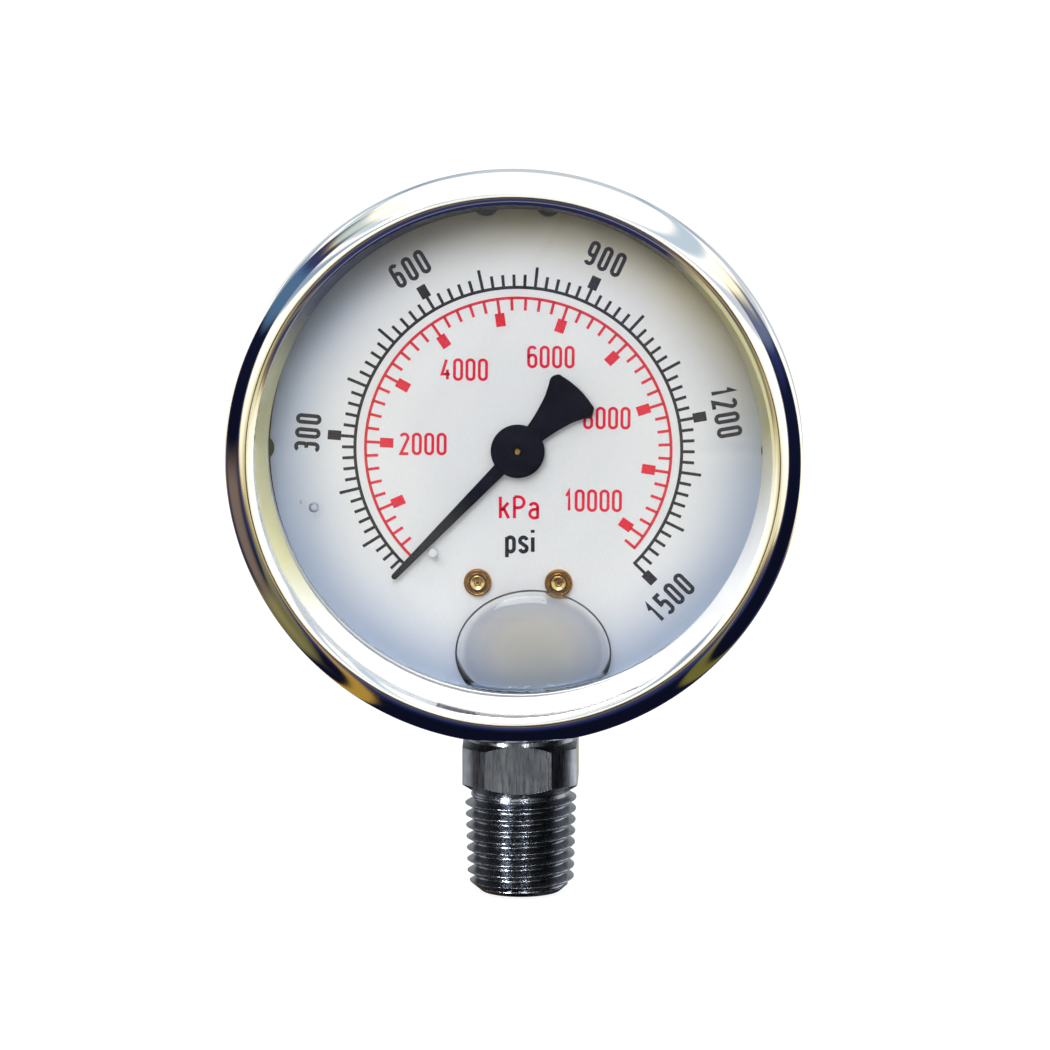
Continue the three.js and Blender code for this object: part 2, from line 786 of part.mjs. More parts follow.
function socketBody() {
  const padHalf = 12.5;
  const bowl = rodY(caseR - caseWall - seat, -5, 8, 0, caseZ, RING);
  const pad = block([-padHalf, -5, caseZ - caseR], [padHalf, 5, 31]).intersect(bowl);
  const column = block([-7.2, -4.5, 30.5], [7.2, 8, 40.9]);
  const tongue = block([-7.2, backPlateY + plateThick + seat, 40], [7.2, 5.6, 47.5]);
  const posts = [-1, 1].map((side) =>
    rodY(2.0, dialFrontY + dialThick + seat, -4, side * dialScrewX, dialScrewZ));
  return joined(rodZ(neckR, collarTop - 0.5, 28), pad, column, tongue, ...posts);
}

function buildSocketStem() {
  const blunt = turnedZ([[0, 0], [4.9, 0], [6.15, 1.05], [9, 1.6], [9, 60], [0, 60]], 0, 0, threadFacets);
  const thread = threadedCore().intersect(blunt);
  const channelZ = spindleZ + tubeR * Math.sin(tubeStart);
  const channel = new THREE.CylinderGeometry(0.8, 0.8, 8, 12).rotateZ(Math.PI / 2).translate(-3.2, 2.0, channelZ);
  const holes = [
    rodZ(boreR, -1, boreDepth),
    rodZ(0.8, boreDepth - 0.5, channelZ + 0.5, 0, 0, 12),
    solid(new THREE.CylinderGeometry(0.8, 0.8, 4, 12).translate(0, 1, channelZ)),
    solid(channel),
    tubeSweep(0.1, tubeStart + 0.02, tubeStart - 0.3),
    ...[-1, 1].map((side) => rodY(1.15, -8, -1, side * dialScrewX, dialScrewZ)),
    ...Object.values(movementScrews).map(([x, z]) => rodY(0.85, 2, 5, x, z)),
    ...[-1, 1].map((side) => tiltedRod(1.3, side)),
  ];
  addPiece('socket_stem', cut(joined(thread, wrenchSection(), socketBody()), ...holes), nickel);
}

function buildRestrictor() {
  const low = 1.2;
  const high = 7.0;
  const body = rodZ(boreR - 0.1, low, high);
  const orifice = rodZ(0.3, low - 1, high + 1, 0, 0, 8);
  const slot = block([-3, -0.3, low - 1], [3, 0.3, low + 0.8]);
  addPiece('restrictor_screw', cut(body, orifice, slot), brass);
}

function buildStemSeal() {
  const low = collarTop + seat;
  const high = caseZ - caseR - 0.35;
  const outerR = 6.5;
  const ring = [[neckR + 0.1, low], [outerR, low], [outerR, high], [neckR + 0.1, high]];
  addPiece('stem_seal', turnedZ(closedRing(ring)), rubber);
}

function buildSocketScrews() {
  for (const [side, name] of [[-1, 'socket_screw_left'], [1, 'socket_screw_right']]) {
    const turnedGroup = new THREE.Group();
    turnedGroup.position.z = caseZ;
    turnedGroup.rotation.y = side * socketScrewTilt;
    const headFace = -caseR - 0.3;
    const profile = [
      [0, headFace - 1.2],
      [1.7, headFace - 1.2],
      [2.0, headFace - 0.9],
      [2.0, headFace],
      [1.0, headFace],
      [1.0, -25],
      [0, -25],
    ];
    const slot = block([-3, -0.3, headFace - 2], [3, 0.3, headFace - 0.6]);
    addPiece(name, cut(turnedZ(profile), slot), nickel, turnedGroup);
    model.add(turnedGroup);
  }
}

buildCase();
buildBezel();
buildWindow();
buildFillPlug();
buildDial();
buildStopPin();
buildDialScrews();
buildPointer();
buildPinionArbor();
buildSector();
buildLink();
buildHairspring();
buildMovementFrame();
buildBourdonTube();
buildTubeTip();
buildSocketStem();
buildRestrictor();
buildStemSeal();
buildSocketScrews();

export default model;
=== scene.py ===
"""The looks of a liquid-filled pressure gauge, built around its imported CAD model."""

import json
import math

import bmesh
import bpy
from mathutils import Matrix, Vector


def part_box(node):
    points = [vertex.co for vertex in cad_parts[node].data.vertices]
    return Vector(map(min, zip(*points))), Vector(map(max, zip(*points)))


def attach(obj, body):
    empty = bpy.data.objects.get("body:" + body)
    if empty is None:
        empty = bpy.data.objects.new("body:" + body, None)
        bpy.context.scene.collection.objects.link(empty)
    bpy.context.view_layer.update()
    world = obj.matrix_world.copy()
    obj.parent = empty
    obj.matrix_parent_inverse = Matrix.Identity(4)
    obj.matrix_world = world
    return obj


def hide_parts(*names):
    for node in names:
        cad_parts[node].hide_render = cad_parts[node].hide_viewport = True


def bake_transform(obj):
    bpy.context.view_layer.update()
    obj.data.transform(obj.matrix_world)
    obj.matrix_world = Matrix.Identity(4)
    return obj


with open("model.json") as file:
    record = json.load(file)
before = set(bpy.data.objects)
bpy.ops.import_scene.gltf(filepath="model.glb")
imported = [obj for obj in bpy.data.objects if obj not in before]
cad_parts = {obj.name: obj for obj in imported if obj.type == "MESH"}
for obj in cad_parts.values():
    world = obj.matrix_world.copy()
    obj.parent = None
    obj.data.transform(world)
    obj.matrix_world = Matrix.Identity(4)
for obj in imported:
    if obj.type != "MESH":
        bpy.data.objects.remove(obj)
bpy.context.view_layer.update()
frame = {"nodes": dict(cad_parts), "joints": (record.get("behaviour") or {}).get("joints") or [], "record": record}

# ------------------------------------------------------------------ driving sizes, in mm unless said

MM = 0.001


def box_mm(node):
    """A CAD node's lowest and highest corner, in millimetres."""
    low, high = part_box(node)
    return low / MM, high / MM


def middle_of(low, high):
    """The (x, z) in the middle of a box."""
    return (low.x + high.x) / 2, (low.z + high.z) / 2


SLOT_OF = {row["node"]: row["material_slot"] for row in frame["record"]["subparts"]}
SPINDLE_Z = next(joint["pos_m"][2] for joint in frame["joints"] if joint["name"] == "pointer_turn") / MM

BEZEL_LOW, BEZEL_HIGH = box_mm("bezel_ring")
CASE_LOW, CASE_HIGH = box_mm("case")
WINDOW_LOW, WINDOW_HIGH = box_mm("window")
GASKET_LOW, GASKET_HIGH = box_mm("window_gasket")
DIAL_LOW, DIAL_HIGH = box_mm("dial")
HUB_LOW, HUB_HIGH = box_mm("pointer_hub")
BLADE_LOW, BLADE_HIGH = box_mm("pointer")

# housing: the case and the bezel share an axis, and the bezel's visible ring sits a little off it
CASE_Z = (BEZEL_LOW.z + BEZEL_HIGH.z) / 2
BEZEL_R = (BEZEL_HIGH.z - BEZEL_LOW.z) / 2
BEZEL_SHIFT_X = -0.22
BEZEL_SHIFT_Z = -0.35
LIP_R = 29.9
WALL_R = LIP_R + 1.3
FLANGE_R = (CASE_HIGH.z - CASE_LOW.z) / 2
CASE_R = FLANGE_R - 2.0
CASE_WALL = 0.7
WINDOW_R = (WINDOW_HIGH.z - WINDOW_LOW.z) / 2

# dial and pointer: angles from +X, the rest angle in radians and the scale's start in degrees
DIAL_R = DIAL_HIGH.x
REST_ANGLE = math.radians(226)
SCALE_START = 226.4
BLOCK_LONG = 1.62
BLOCK_WIDE = 1.16

# the large bubble: half sizes, roundness of its edge, and the radius at which the case ends it
BUBBLE_X = 1.875
BUBBLE_Z = SPINDLE_Z - 24.9
BUBBLE_WIDE = 9.475
BUBBLE_UP = 7.9
BUBBLE_DOWN = 7.4
BUBBLE_ROUND = 0.72
BUBBLE_END_R = CASE_R - 0.9

# stem: 1/4-18 NPT thread, 14 mm flats, collar and neck
PITCH = 25.4 / 18
THREAD_END_R = 6.5
THREAD_TAPER = 1 / 32
THREAD_DEEP = 1.0
THREAD_TOP = 12.3
BORE_R = 2.2
BORE_DEEP = 9.5
UNDERCUT_R = 5.9
FLAT_HALF = 7.0
CORNER_R = 8.1
WRENCH_HIGH = 18.45
COLLAR_TOP = 22.9
NECK_R = 5.2
BLOCK_LOW = 24.0

# studio: angles in degrees, distances and heights in metres, the lens in mm
CAMERA_AZIMUTH = 2.4
CAMERA_ELEVATION = 9.5
CAMERA_DISTANCE = 1.0
CAMERA_LENS = 282
STRIP_DISTANCE = 0.4
STRIP_HEIGHT = 2.0
STRIP_AIM = (0, 0, 12 * MM)
DIFFUSE_SHARE = 0.95

# ------------------------------------------------------------------ mesh helpers


def cleaned(mesh, merge=None):
    """Joins corners closer than a distance, if one is given, and turns every face outwards."""
    tool = bmesh.new()
    tool.from_mesh(mesh)
    if merge:
        bmesh.ops.remove_doubles(tool, verts=tool.verts, dist=merge)
    bmesh.ops.recalc_face_normals(tool, faces=tool.faces)
    tool.to_mesh(mesh)
    tool.free()
    return mesh


def mesh_from(name, vertices, faces, merge=1e-5):
    mesh = bpy.data.meshes.new(name)
    mesh.from_pydata(vertices, [], faces)
    return cleaned(mesh, merge)


def add_piece(mesh, body, slot, replaced=(), material=None, smooth_angle=35):
    """Makes a piece of a mesh in millimetres: smooth-shaded, painted and riding on its body."""
    mesh.transform(Matrix.Scale(MM, 4))
    mesh.polygons.foreach_set("use_smooth", [True] * len(mesh.polygons))
    mesh.set_sharp_from_angle(angle=math.radians(smooth_angle))
    mesh.materials.clear()
    mesh.materials.append(material or BY_SLOT[slot])
    piece = bpy.data.objects.new(mesh.name, mesh)
    bpy.context.scene.collection.objects.link(piece)
    if replaced:
        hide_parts(*replaced)
    if body:
        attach(piece, body)
    return piece


def soften(piece, width, angle):
    """Rounds the edges of a piece that are sharper than an angle, by a width in millimetres."""
    bevel = piece.modifiers.new("edges", "BEVEL")
    bevel.width = width * MM
    bevel.segments = 2
    bevel.limit_method = "ANGLE"
    bevel.angle_limit = math.radians(angle)


def arc(cx, cy, radius, start, end, steps=10):
    """Points on a circle, from one angle to another in degrees."""
    points = []
    for i in range(steps + 1):
        angle = math.radians(start + (end - start) * i / steps)
        points.append((cx + radius * math.cos(angle), cy + radius * math.sin(angle)))
    return points


def filleted(corners, closed=False, steps=5):
    """A line through (x, y, radius) corners, with each corner rounded to its radius."""
    line = []
    count = len(corners)
    for i, (x, y, radius) in enumerate(corners):
        here = Vector((x, y))
        at_end = not closed and i in (0, count - 1)
        if at_end or radius <= 0:
            line.append((x, y))
            continue
        before = Vector(corners[i - 1][:2]) - here
        after = Vector(corners[(i + 1) % count][:2]) - here
        half = before.angle(after) / 2
        reach = min(radius / math.tan(half), before.length * 0.48, after.length * 0.48)
        first = here + before.normalized() * reach
        last = here + after.normalized() * reach
        for step in range(steps + 1):
            t = step / steps
            point = first * (1 - t) ** 2 + here * 2 * t * (1 - t) + last * t ** 2
            line.append(tuple(point))
    return line


def lathe(name, profile, closed=False, segments=192, centre=(0, 0), axis="Y"):
    """A turned mesh. The profile is a list of (radius, along); an open one ends on the axis."""
    vertices = []
    rows = []
    for radius, along in profile:
        row = []
        ring = 1 if radius < 1e-6 else segments
        for i in range(ring):
            angle = 2 * math.pi * i / segments
            u = centre[0] + radius * math.cos(angle)
            v = centre[1] + radius * math.sin(angle)
            row.append(len(vertices))
            vertices.append((u, along, v) if axis == "Y" else (u, v, along))
        rows.append(row)
    pairs = list(zip(rows, rows[1:]))
    if closed:
        pairs.append((rows[-1], rows[0]))
    faces = []
    for low, high in pairs:
        for i in range(segments):
            j = (i + 1) % segments
            corners = [low[i % len(low)], low[j % len(low)], high[j % len(high)], high[i % len(high)]]
            unique = list(dict.fromkeys(corners))
            if len(unique) > 2:
                faces.append(unique)
    return mesh_from(name, vertices, faces)


def ring_faces(rings, around):
    """Faces that join equal rings of points, each ring to the next."""
    faces = []
    for low in range(0, (rings - 1) * around, around):
        for i in range(around):
            k = (i + 1) % around
            faces.append((low + i, low + k, low + around + k, low + around + i))
    return faces


def turned_piece(
    name, corners, body, slot, replaced=(), closed=False, segments=128,
    centre=(0, CASE_Z), axis="Y", material=None,
):
    """A piece turned from (radius, along, fillet) corners; an open line ends on the axis."""
    mesh = lathe(name, filleted(corners, closed), closed, segments, centre, axis)
    return add_piece(mesh, body, slot, replaced, material)


def plate(name, loops, y0, y1, bevel):
    """A flat plate with rounded edges. The loops are closed lines of (x, z), holes included."""
    curve = bpy.data.curves.new(name, "CURVE")
    curve.dimensions = "2D"
    curve.fill_mode = "BOTH"
    curve.extrude = (y1 - y0) / 2 - bevel
    curve.bevel_depth = bevel
    curve.bevel_resolution = 2
    curve.offset = -bevel
    for loop in loops:
        spline = curve.splines.new("POLY")
        spline.points.add(len(loop) - 1)
        for point, (x, z) in zip(spline.points, loop):
            point.co = (x, z, 0, 1)
        spline.use_cyclic_u = True
    source = bpy.data.objects.new(name + "_curve", curve)
    bpy.context.scene.collection.objects.link(source)
    bpy.context.view_layer.update()
    graph = bpy.context.evaluated_depsgraph_get()
    mesh = bpy.data.meshes.new_from_object(source.evaluated_get(graph))
    bpy.data.objects.remove(source)
    mesh.name = name
    mesh.transform(Matrix.Translation((0, (y0 + y1) / 2, 0)) @ Matrix.Rotation(math.pi / 2, 4, "X"))
    return cleaned(mesh, 1e-4)


# ------------------------------------------------------------------ material helpers


class Nodes:
    """Short calls that add nodes to a tree, each fed with plain values or with other nodes' outputs."""

    def __init__(self, tree):
        self.tree = tree

    def feed(self, socket, value):
        """Links an output to a socket, or sets the socket to a number, a vector or a colour."""
        if isinstance(value, bpy.types.NodeSocket):
            self.tree.links.new(value, socket)
        elif socket.type == "RGBA":
            socket.default_value = (*value, 1)
        else:
            socket.default_value = value

    def add(self, kind, **inputs):
        """Adds a node, with its inputs by their names in Blender and _ for a space."""
        node = self.tree.nodes.new(kind)
        for name, value in inputs.items():
            self.feed(node.inputs[name.replace("_", " ")], value)
        return node

    def operate(self, kind, operation, values):
        node = self.tree.nodes.new(kind)
        node.operation = operation
        for socket, value in zip(node.inputs, values):
            self.feed(socket, value)
        return node.outputs

    def math(self, operation, *values):
        return self.operate("ShaderNodeMath", operation, values)["Value"]

    def measure(self, operation, *values):
        """A number from vectors, such as a length or a dot product."""
        return self.operate("ShaderNodeVectorMath", operation, values)["Value"]

    def parts(self, vector):
        return self.add("ShaderNodeSeparateXYZ", Vector=vector).outputs

    def mapped(self, vector, scale, shift=(0, 0, 0)):
        return self.add("ShaderNodeMapping", Vector=vector, Scale=scale, Location=shift).outputs["Vector"]

    def noise(self, vector, detail=4, roughness=0.55, scale=1):
        inputs = {"Vector": vector, "Scale": scale, "Detail": detail, "Roughness": roughness}
        return self.add("ShaderNodeTexNoise", **inputs).outputs["Fac"]

    def spread(self, value, low, high, out_low=0, out_high=1, smooth=False):
        """Maps a value from one range to another, and holds it at both ends."""
        inputs = {"Value": value, "From_Min": low, "From_Max": high, "To_Min": out_low, "To_Max": out_high}
        node = self.add("ShaderNodeMapRange", **inputs)
        if smooth:
            node.interpolation_type = "SMOOTHSTEP"
        return node.outputs["Result"]

    def ramp(self, value, *stops):
        """A colour by a value. The stops are (position, colour)."""
        ramp = self.add("ShaderNodeValToRGB", Fac=value)
        elements = ramp.color_ramp.elements
        while len(elements) < len(stops):
            elements.new(0.5)
        for element, (position, color) in zip(elements, stops):
            element.position = position
            element.color = (*color, 1)
        return ramp.outputs["Color"]

    def mix(self, factor, first, second):
        """A colour between two others."""
        mix = self.tree.nodes.new("ShaderNodeMix")
        mix.data_type = "RGBA"
        self.feed(mix.inputs["Factor"], factor)
        for socket, value in zip(mix.inputs[6:8], (first, second)):
            self.feed(socket, value)
        return mix.outputs[2]

    def mix_shaders(self, factor, first, second):
        mix = self.add("ShaderNodeMixShader", Fac=factor)
        for socket, shader in zip(list(mix.inputs)[1:], (first, second)):
            self.feed(socket, shader.outputs[0])
        return mix


class Finish(Nodes):
    """A Principled material, driven by textures in the piece's own coordinates."""

    def __init__(self, name, **inputs):
        self.material = bpy.data.materials.new(name)
        self.material.use_nodes = True
        super().__init__(self.material.node_tree)
        self.place = self.add("ShaderNodeTexCoord").outputs["Object"]
        self.normal = None
        self.drive(**inputs)

    def drive(self, **inputs):
        """Sets or links the shader's inputs."""
        shader = self.tree.nodes["Principled BSDF"]
        for name, value in inputs.items():
            self.feed(shader.inputs[name.replace("_", " ")], value)

    def grain(self, x, y, z, detail=4, roughness=0.55):
        """Noise with a number of features per millimetre along each axis."""
        return self.noise(self.mapped(self.place, (x / MM, y / MM, z / MM)), detail, roughness)

    def turned(self, centre_z, per_mm):
        """(radius, depth) round the axis through the case, times a scale per millimetre."""
        flat = self.mapped(self.place, (1, 0, 1), (0, 0, -centre_z * MM))
        depth = self.parts(self.place)["Y"]
        joined = self.add("ShaderNodeCombineXYZ", X=self.measure("LENGTH", flat), Y=depth)
        return self.mapped(joined.outputs["Vector"], (per_mm / MM, per_mm / MM, 1))

    def tint(self, value, *stops):
        """Base colour by a value."""
        self.drive(Base_Color=self.ramp(value, *stops))

    def rough(self, value, out_low, out_high):
        """Roughness between two limits, by a noise."""
        self.drive(Roughness=self.spread(value, 0.3, 0.7, out_low, out_high))

    def bump(self, height, distance):
        """Adds a bump of that height in millimetres to those already there."""
        node = self.add("ShaderNodeBump", Height=height, Distance=distance * MM)
        if self.normal is not None:
            self.feed(node.inputs["Normal"], self.normal)
        self.normal = node.outputs["Normal"]
        self.drive(Normal=self.normal)


class Clear(Nodes):
    """Clear glass, or with an index under 1 an air bubble, that lets the lamps' light through."""

    def __init__(self, name, ior, color, passes):
        self.material = bpy.data.materials.new(name)
        self.material.use_nodes = True
        super().__init__(self.material.node_tree)
        self.tree.nodes.clear()
        self.place = self.add("ShaderNodeTexCoord").outputs["Object"]
        smears = self.noise(self.place, 3, 0.5, 0.15 / MM)
        haze = self.spread(smears, 0.4, 0.7, 0.0, 0.03)
        ripple = self.add("ShaderNodeBump", Height=smears, Distance=0.0004 * MM).outputs["Normal"]
        self.glass = self.add("ShaderNodeBsdfGlass", Color=color, IOR=ior, Roughness=haze, Normal=ripple)
        open_way = self.add("ShaderNodeBsdfTransparent", Color=(passes, passes, passes))
        shadow_ray = self.add("ShaderNodeLightPath").outputs["Is Shadow Ray"]
        mix = self.mix_shaders(shadow_ray, self.glass, open_way)
        self.add("ShaderNodeOutputMaterial", Surface=mix.outputs["Shader"])

    def from_centre(self, x, z, half_x, half_z):
        """How far a point lies from a centre, as a share of an ellipse's half sizes in millimetres."""
        scale = (1 / half_x / MM, 0, 1 / half_z / MM)
        return self.measure("LENGTH", self.mapped(self.place, scale, (-x / half_x, 0, -z / half_z)))

    def rim(self, low, high):
        """1 where the surface turns away from the eye."""
        return self.spread(self.add("ShaderNodeLayerWeight").outputs["Facing"], low, high)

    def color(self, source):
        self.feed(self.glass.inputs["Color"], source)


# ------------------------------------------------------------------ materials


def polished_steel():
    """Mirror polish outside; the steep inner wall is dull, with painted reflection and shade in its colour: white
    below, yellowish beside, dark blue on top.
    """
    finish = Finish("polished_steel")
    lines_per_mm = 14
    round_axis = finish.turned(CASE_Z, lines_per_mm)
    reach = finish.parts(round_axis)["X"]
    wall = finish.spread(reach, WALL_R * lines_per_mm, (WALL_R + 0.2) * lines_per_mm, 1, 0)
    place = finish.parts(finish.place)
    up = finish.spread(place["Z"], (CASE_Z - WALL_R) * MM, (CASE_Z + WALL_R) * MM)
    right = finish.spread(place["X"], 0.3 * WALL_R * MM, WALL_R * MM, 0, 0.26)
    # painted reflection and shade: the inner wall is white at the bottom, straw at the sides and dark blue at the
    # top, standing in for what it mirrors
    white, straw, painted_dark_reflection = (1.0, 1.0, 1.0), (0.82, 0.78, 0.40), (0.03, 0.034, 0.12)
    level = finish.math("SUBTRACT", up, right)
    painted_wall_reflection = finish.ramp(level, (0.14, white), (0.30, straw), (0.66, straw), (0.80, painted_dark_reflection))
    finish.drive(
        Base_Color=finish.mix(wall, (0.93, 0.93, 0.925), painted_wall_reflection),
        Metallic=finish.spread(wall, 0, 1, 1, 0.2),
        Roughness=finish.spread(wall, 0, 1, 0.05, 0.25),
    )
    finish.bump(finish.grain(0.1, 0.3, 0.1, 1), 0.03)
    finish.bump(finish.noise(round_axis, 3, 0.6), 0.0022)
    return finish.material


def case_steel():
    """Brushed steel outside; inside the cup, where the liquid stands, painted shade makes it dark and dull."""
    finish = Finish("case_steel")
    lines_per_mm = 9
    round_axis = finish.turned(CASE_Z, lines_per_mm)
    brushed = finish.noise(round_axis, 5, 0.7)
    place = finish.parts(round_axis)

    # the inside, where the shade is painted, is a mask by radius, by depth, and by both together at the rounded
    # back corner
    inner_r = CASE_R - 0.6
    front, back = CASE_LOW.y + 1.65, CASE_HIGH.y - 0.5
    corner = 40.7
    in_radius = finish.spread(place["X"], inner_r * lines_per_mm, (inner_r + 0.3) * lines_per_mm, 1, 0)
    depth = finish.spread(place["Y"], front * lines_per_mm, back * lines_per_mm, -1, 1)
    in_depth = finish.spread(finish.math("ABSOLUTE", depth), 0.985, 1.0, 1, 0)
    to_corner = finish.math("ADD", place["X"], place["Y"])
    in_corner = finish.spread(to_corner, corner * lines_per_mm, (corner + 0.4) * lines_per_mm, 1, 0)
    inside = finish.math("MULTIPLY", finish.math("MULTIPLY", in_radius, in_depth), in_corner)

    # painted shade: the tone falls to near black and the metal turns dull inside the cup
    shade = finish.math("SUBTRACT", finish.grain(0.1, 0.1, 0.1), inside)
    finish.tint(shade, (0.0, (0.02, 0.021, 0.03)), (0.3, (0.60, 0.61, 0.63)), (0.7, (0.74, 0.75, 0.76)))
    finish.drive(
        Roughness=finish.math("MAXIMUM", finish.spread(brushed, 0.3, 0.7, 0.22, 0.4), inside),
        Metallic=finish.spread(inside, 0, 1, 1, 0),
    )
    finish.bump(brushed, 0.006)
    return finish.material


def dark_nickel():
    """Dull metal of the stem, with fine upright scratches and turning rings."""
    finish = Finish("dark_nickel", Metallic=1)
    scratches = finish.grain(5, 5, 0.25, 5, 0.65)
    dark, plain, pale = (0.060, 0.066, 0.078), (0.082, 0.090, 0.104), (0.12, 0.13, 0.148)
    finish.tint(finish.grain(0.5, 0.5, 0.35), (0.3, dark), (0.5, plain), (0.72, pale))
    finish.rough(scratches, 0.20, 0.36)
    finish.bump(scratches, 0.006)
    finish.bump(finish.grain(0.3, 0.3, 7, 3, 0.6), 0.004)
    return finish.material


def screw_nickel():
    finish = Finish("screw_nickel", Metallic=1)
    cloud = finish.grain(1.2, 1.2, 1.2)
    finish.tint(cloud, (0.3, (0.38, 0.39, 0.42)), (0.7, (0.56, 0.57, 0.60)))
    finish.rough(cloud, 0.18, 0.36)
    finish.bump(cloud, 0.01)
    return finish.material


def brass(name, dark, light, roughness):
    finish = Finish(name, Metallic=1)
    grain = finish.grain(6, 6, 6, 3)
    finish.tint(finish.grain(0.9, 0.9, 0.9, 5), (0.3, dark), (0.65, light))
    finish.rough(grain, roughness * 0.7, roughness * 1.4)
    finish.bump(grain, 0.006)
    return finish.material


def ringed_brass():
    """Brass of the dial screws, with brown and gold rings in the colour round the ringed heads."""
    finish = Finish("ringed_brass", Metallic=1)
    x, z = middle_of(*box_mm("dial_screw_right"))
    ring_r = 1.8
    place = finish.parts(finish.place)
    either_side = finish.math("ABSOLUTE", place["X"])
    flat = finish.add("ShaderNodeCombineXYZ", X=either_side, Z=place["Z"]).outputs["Vector"]
    reach = finish.spread(finish.measure("DISTANCE", flat, (x * MM, 0, z * MM)), 0, ring_r * MM)
    stained = finish.grain(0.8, 0.8, 0.8, 3)
    wobbling = finish.math("ADD", reach, finish.spread(stained, 0.3, 0.7, -0.03, 0.03))
    gold, pale, brown = (0.62, 0.36, 0.09), (0.74, 0.52, 0.20), (0.09, 0.03, 0.007)
    finish.tint(
        wobbling, (0.10, brown), (0.17, pale), (0.42, pale), (0.52, brown), (0.62, brown),
        (0.68, gold), (0.74, gold), (0.80, (0.22, 0.09, 0.02)), (0.90, (0.30, 0.13, 0.04)), (0.96, gold),
    )
    finish.rough(stained, 0.1, 0.25)
    finish.bump(stained, 0.03)
    return finish.material


def seal_rubber():
    finish = Finish("seal_rubber", Metallic=0)
    cloud = finish.grain(0.25, 0.25, 0.25, 3)
    finish.tint(cloud, (0.3, (0.016, 0.016, 0.018)), (0.7, (0.04, 0.04, 0.042)))
    finish.rough(cloud, 0.5, 0.75)
    finish.bump(finish.grain(3, 3, 3, 5), 0.02)
    return finish.material


def dial_paint():
    """Satin off-white paint with a fine speckle, and painted shade towards its edge: brown at the top and bluish
    round the rest.
    """
    finish = Finish("dial_paint", Metallic=0)
    speckle = finish.grain(4, 4, 4, 3, 0.7)
    unshaded_paint = finish.ramp(speckle, (0.3, (0.70, 0.72, 0.765)), (0.7, (0.765, 0.78, 0.81)))
    place = finish.parts(finish.place)
    # painted shade: towards the dial's edge the colour darkens, warm brown above and bluish elsewhere
    lean = 0.45
    aslant = finish.math("MULTIPLY_ADD", place["X"], lean, place["Z"])
    upward = finish.spread(aslant, (SPINDLE_Z + 8) * MM, (SPINDLE_Z + 27) * MM)
    painted_edge_shade = finish.mix(upward, (0.32, 0.40, 0.56), (0.35, 0.30, 0.15))
    reach = finish.parts(finish.turned(SPINDLE_Z, 1))["X"]
    edge = finish.spread(reach, 20.5, 31, smooth=True)
    finish.drive(Base_Color=finish.mix(edge, unshaded_paint, painted_edge_shade))
    finish.rough(finish.grain(0.06, 0.06, 0.06, 3), 0.36, 0.5)
    finish.bump(speckle, 0.004)
    return finish.material


def ink(name, color):
    finish = Finish(name, Metallic=0, Specular_IOR_Level=0.03)
    grain = finish.grain(5, 5, 5, 3)
    lighter = tuple(value * 1.25 + 0.004 for value in color)
    finish.tint(grain, (0.35, color), (0.7, lighter))
    finish.rough(grain, 0.3825, 0.5175)
    finish.bump(grain, 0.002)
    return finish.material


def pointer_black():
    finish = Finish("pointer_black", Metallic=0, Specular_IOR_Level=0.03)
    cloud = finish.grain(0.3, 0.3, 0.3, 3)
    finish.tint(cloud, (0.3, (0.006, 0.007, 0.014)), (0.7, (0.012, 0.013, 0.024)))
    finish.rough(cloud, 0.32, 0.46)
    finish.bump(finish.grain(2.5, 2.5, 2.5, 3), 0.006)
    return finish.material


def pin_white():
    finish = Finish("pin_white", Metallic=0)
    grain = finish.grain(3, 3, 3, 3)
    finish.tint(grain, (0.3, (0.60, 0.64, 0.70)), (0.7, (0.68, 0.70, 0.74)))
    finish.rough(grain, 0.28, 0.42)
    finish.bump(grain, 0.004)
    return finish.material


def window_glass():
    return Clear("window_glass", 1.45, (0.995, 0.998, 0.998), 0.96).material


def bubble_air():
    """Air in the liquid, with painted light in its glass colour: creamy in the middle, greyer outwards, a painted
    pale ring and then a painted dark outline.
    """
    clear = Clear("bubble_air", 0.70, (0.95, 0.95, 0.94), 0.9)
    z = BUBBLE_Z + (BUBBLE_UP - BUBBLE_DOWN) / 2
    tall = (BUBBLE_UP + BUBBLE_DOWN) / 2
    # painted light: the glass colour stands in for the bubble's shading, its bright ring and its dark outline,
    # with a pale blue foot where it meets the case
    body = clear.ramp(
        clear.from_centre(BUBBLE_X, z, BUBBLE_WIDE, tall),
        (0.0, (1.0, 0.985, 0.93)), (0.45, (1.0, 0.985, 0.95)), (0.74, (0.955, 0.96, 0.975)),
        (0.86, (0.91, 0.925, 0.96)), (0.91, (1.0, 1.0, 1.0)),
    )
    from_axis = clear.from_centre(0, CASE_Z, 1, 1)
    off_wall = clear.spread(from_axis, BUBBLE_END_R - 0.4, BUBBLE_END_R - 0.2, 1, 0)
    thin = clear.math("MULTIPLY", clear.rim(0.27, 0.36), off_wall)
    low_corners = clear.spread(clear.from_centre(BUBBLE_X, z + 1.0, BUBBLE_WIDE, tall), 1.005, 1.03)
    painted_dark_outline = clear.math("MAXIMUM", thin, clear.math("MULTIPLY", low_corners, off_wall))
    foot = clear.mix(off_wall, (0.86, 0.93, 1.0), body)
    clear.color(clear.mix(painted_dark_outline, foot, (0.003, 0.004, 0.05)))
    return clear.material


def small_bubble_air():
    clear = Clear("small_bubble_air", 0.70, (0.95, 0.95, 0.94), 0.9)
    # painted shade: the glass colour turns blue-grey where the surface turns away from the eye
    clear.color(clear.mix(clear.rim(0.3, 0.6), (0.95, 0.96, 0.98), (0.35, 0.42, 0.55)))
    return clear.material


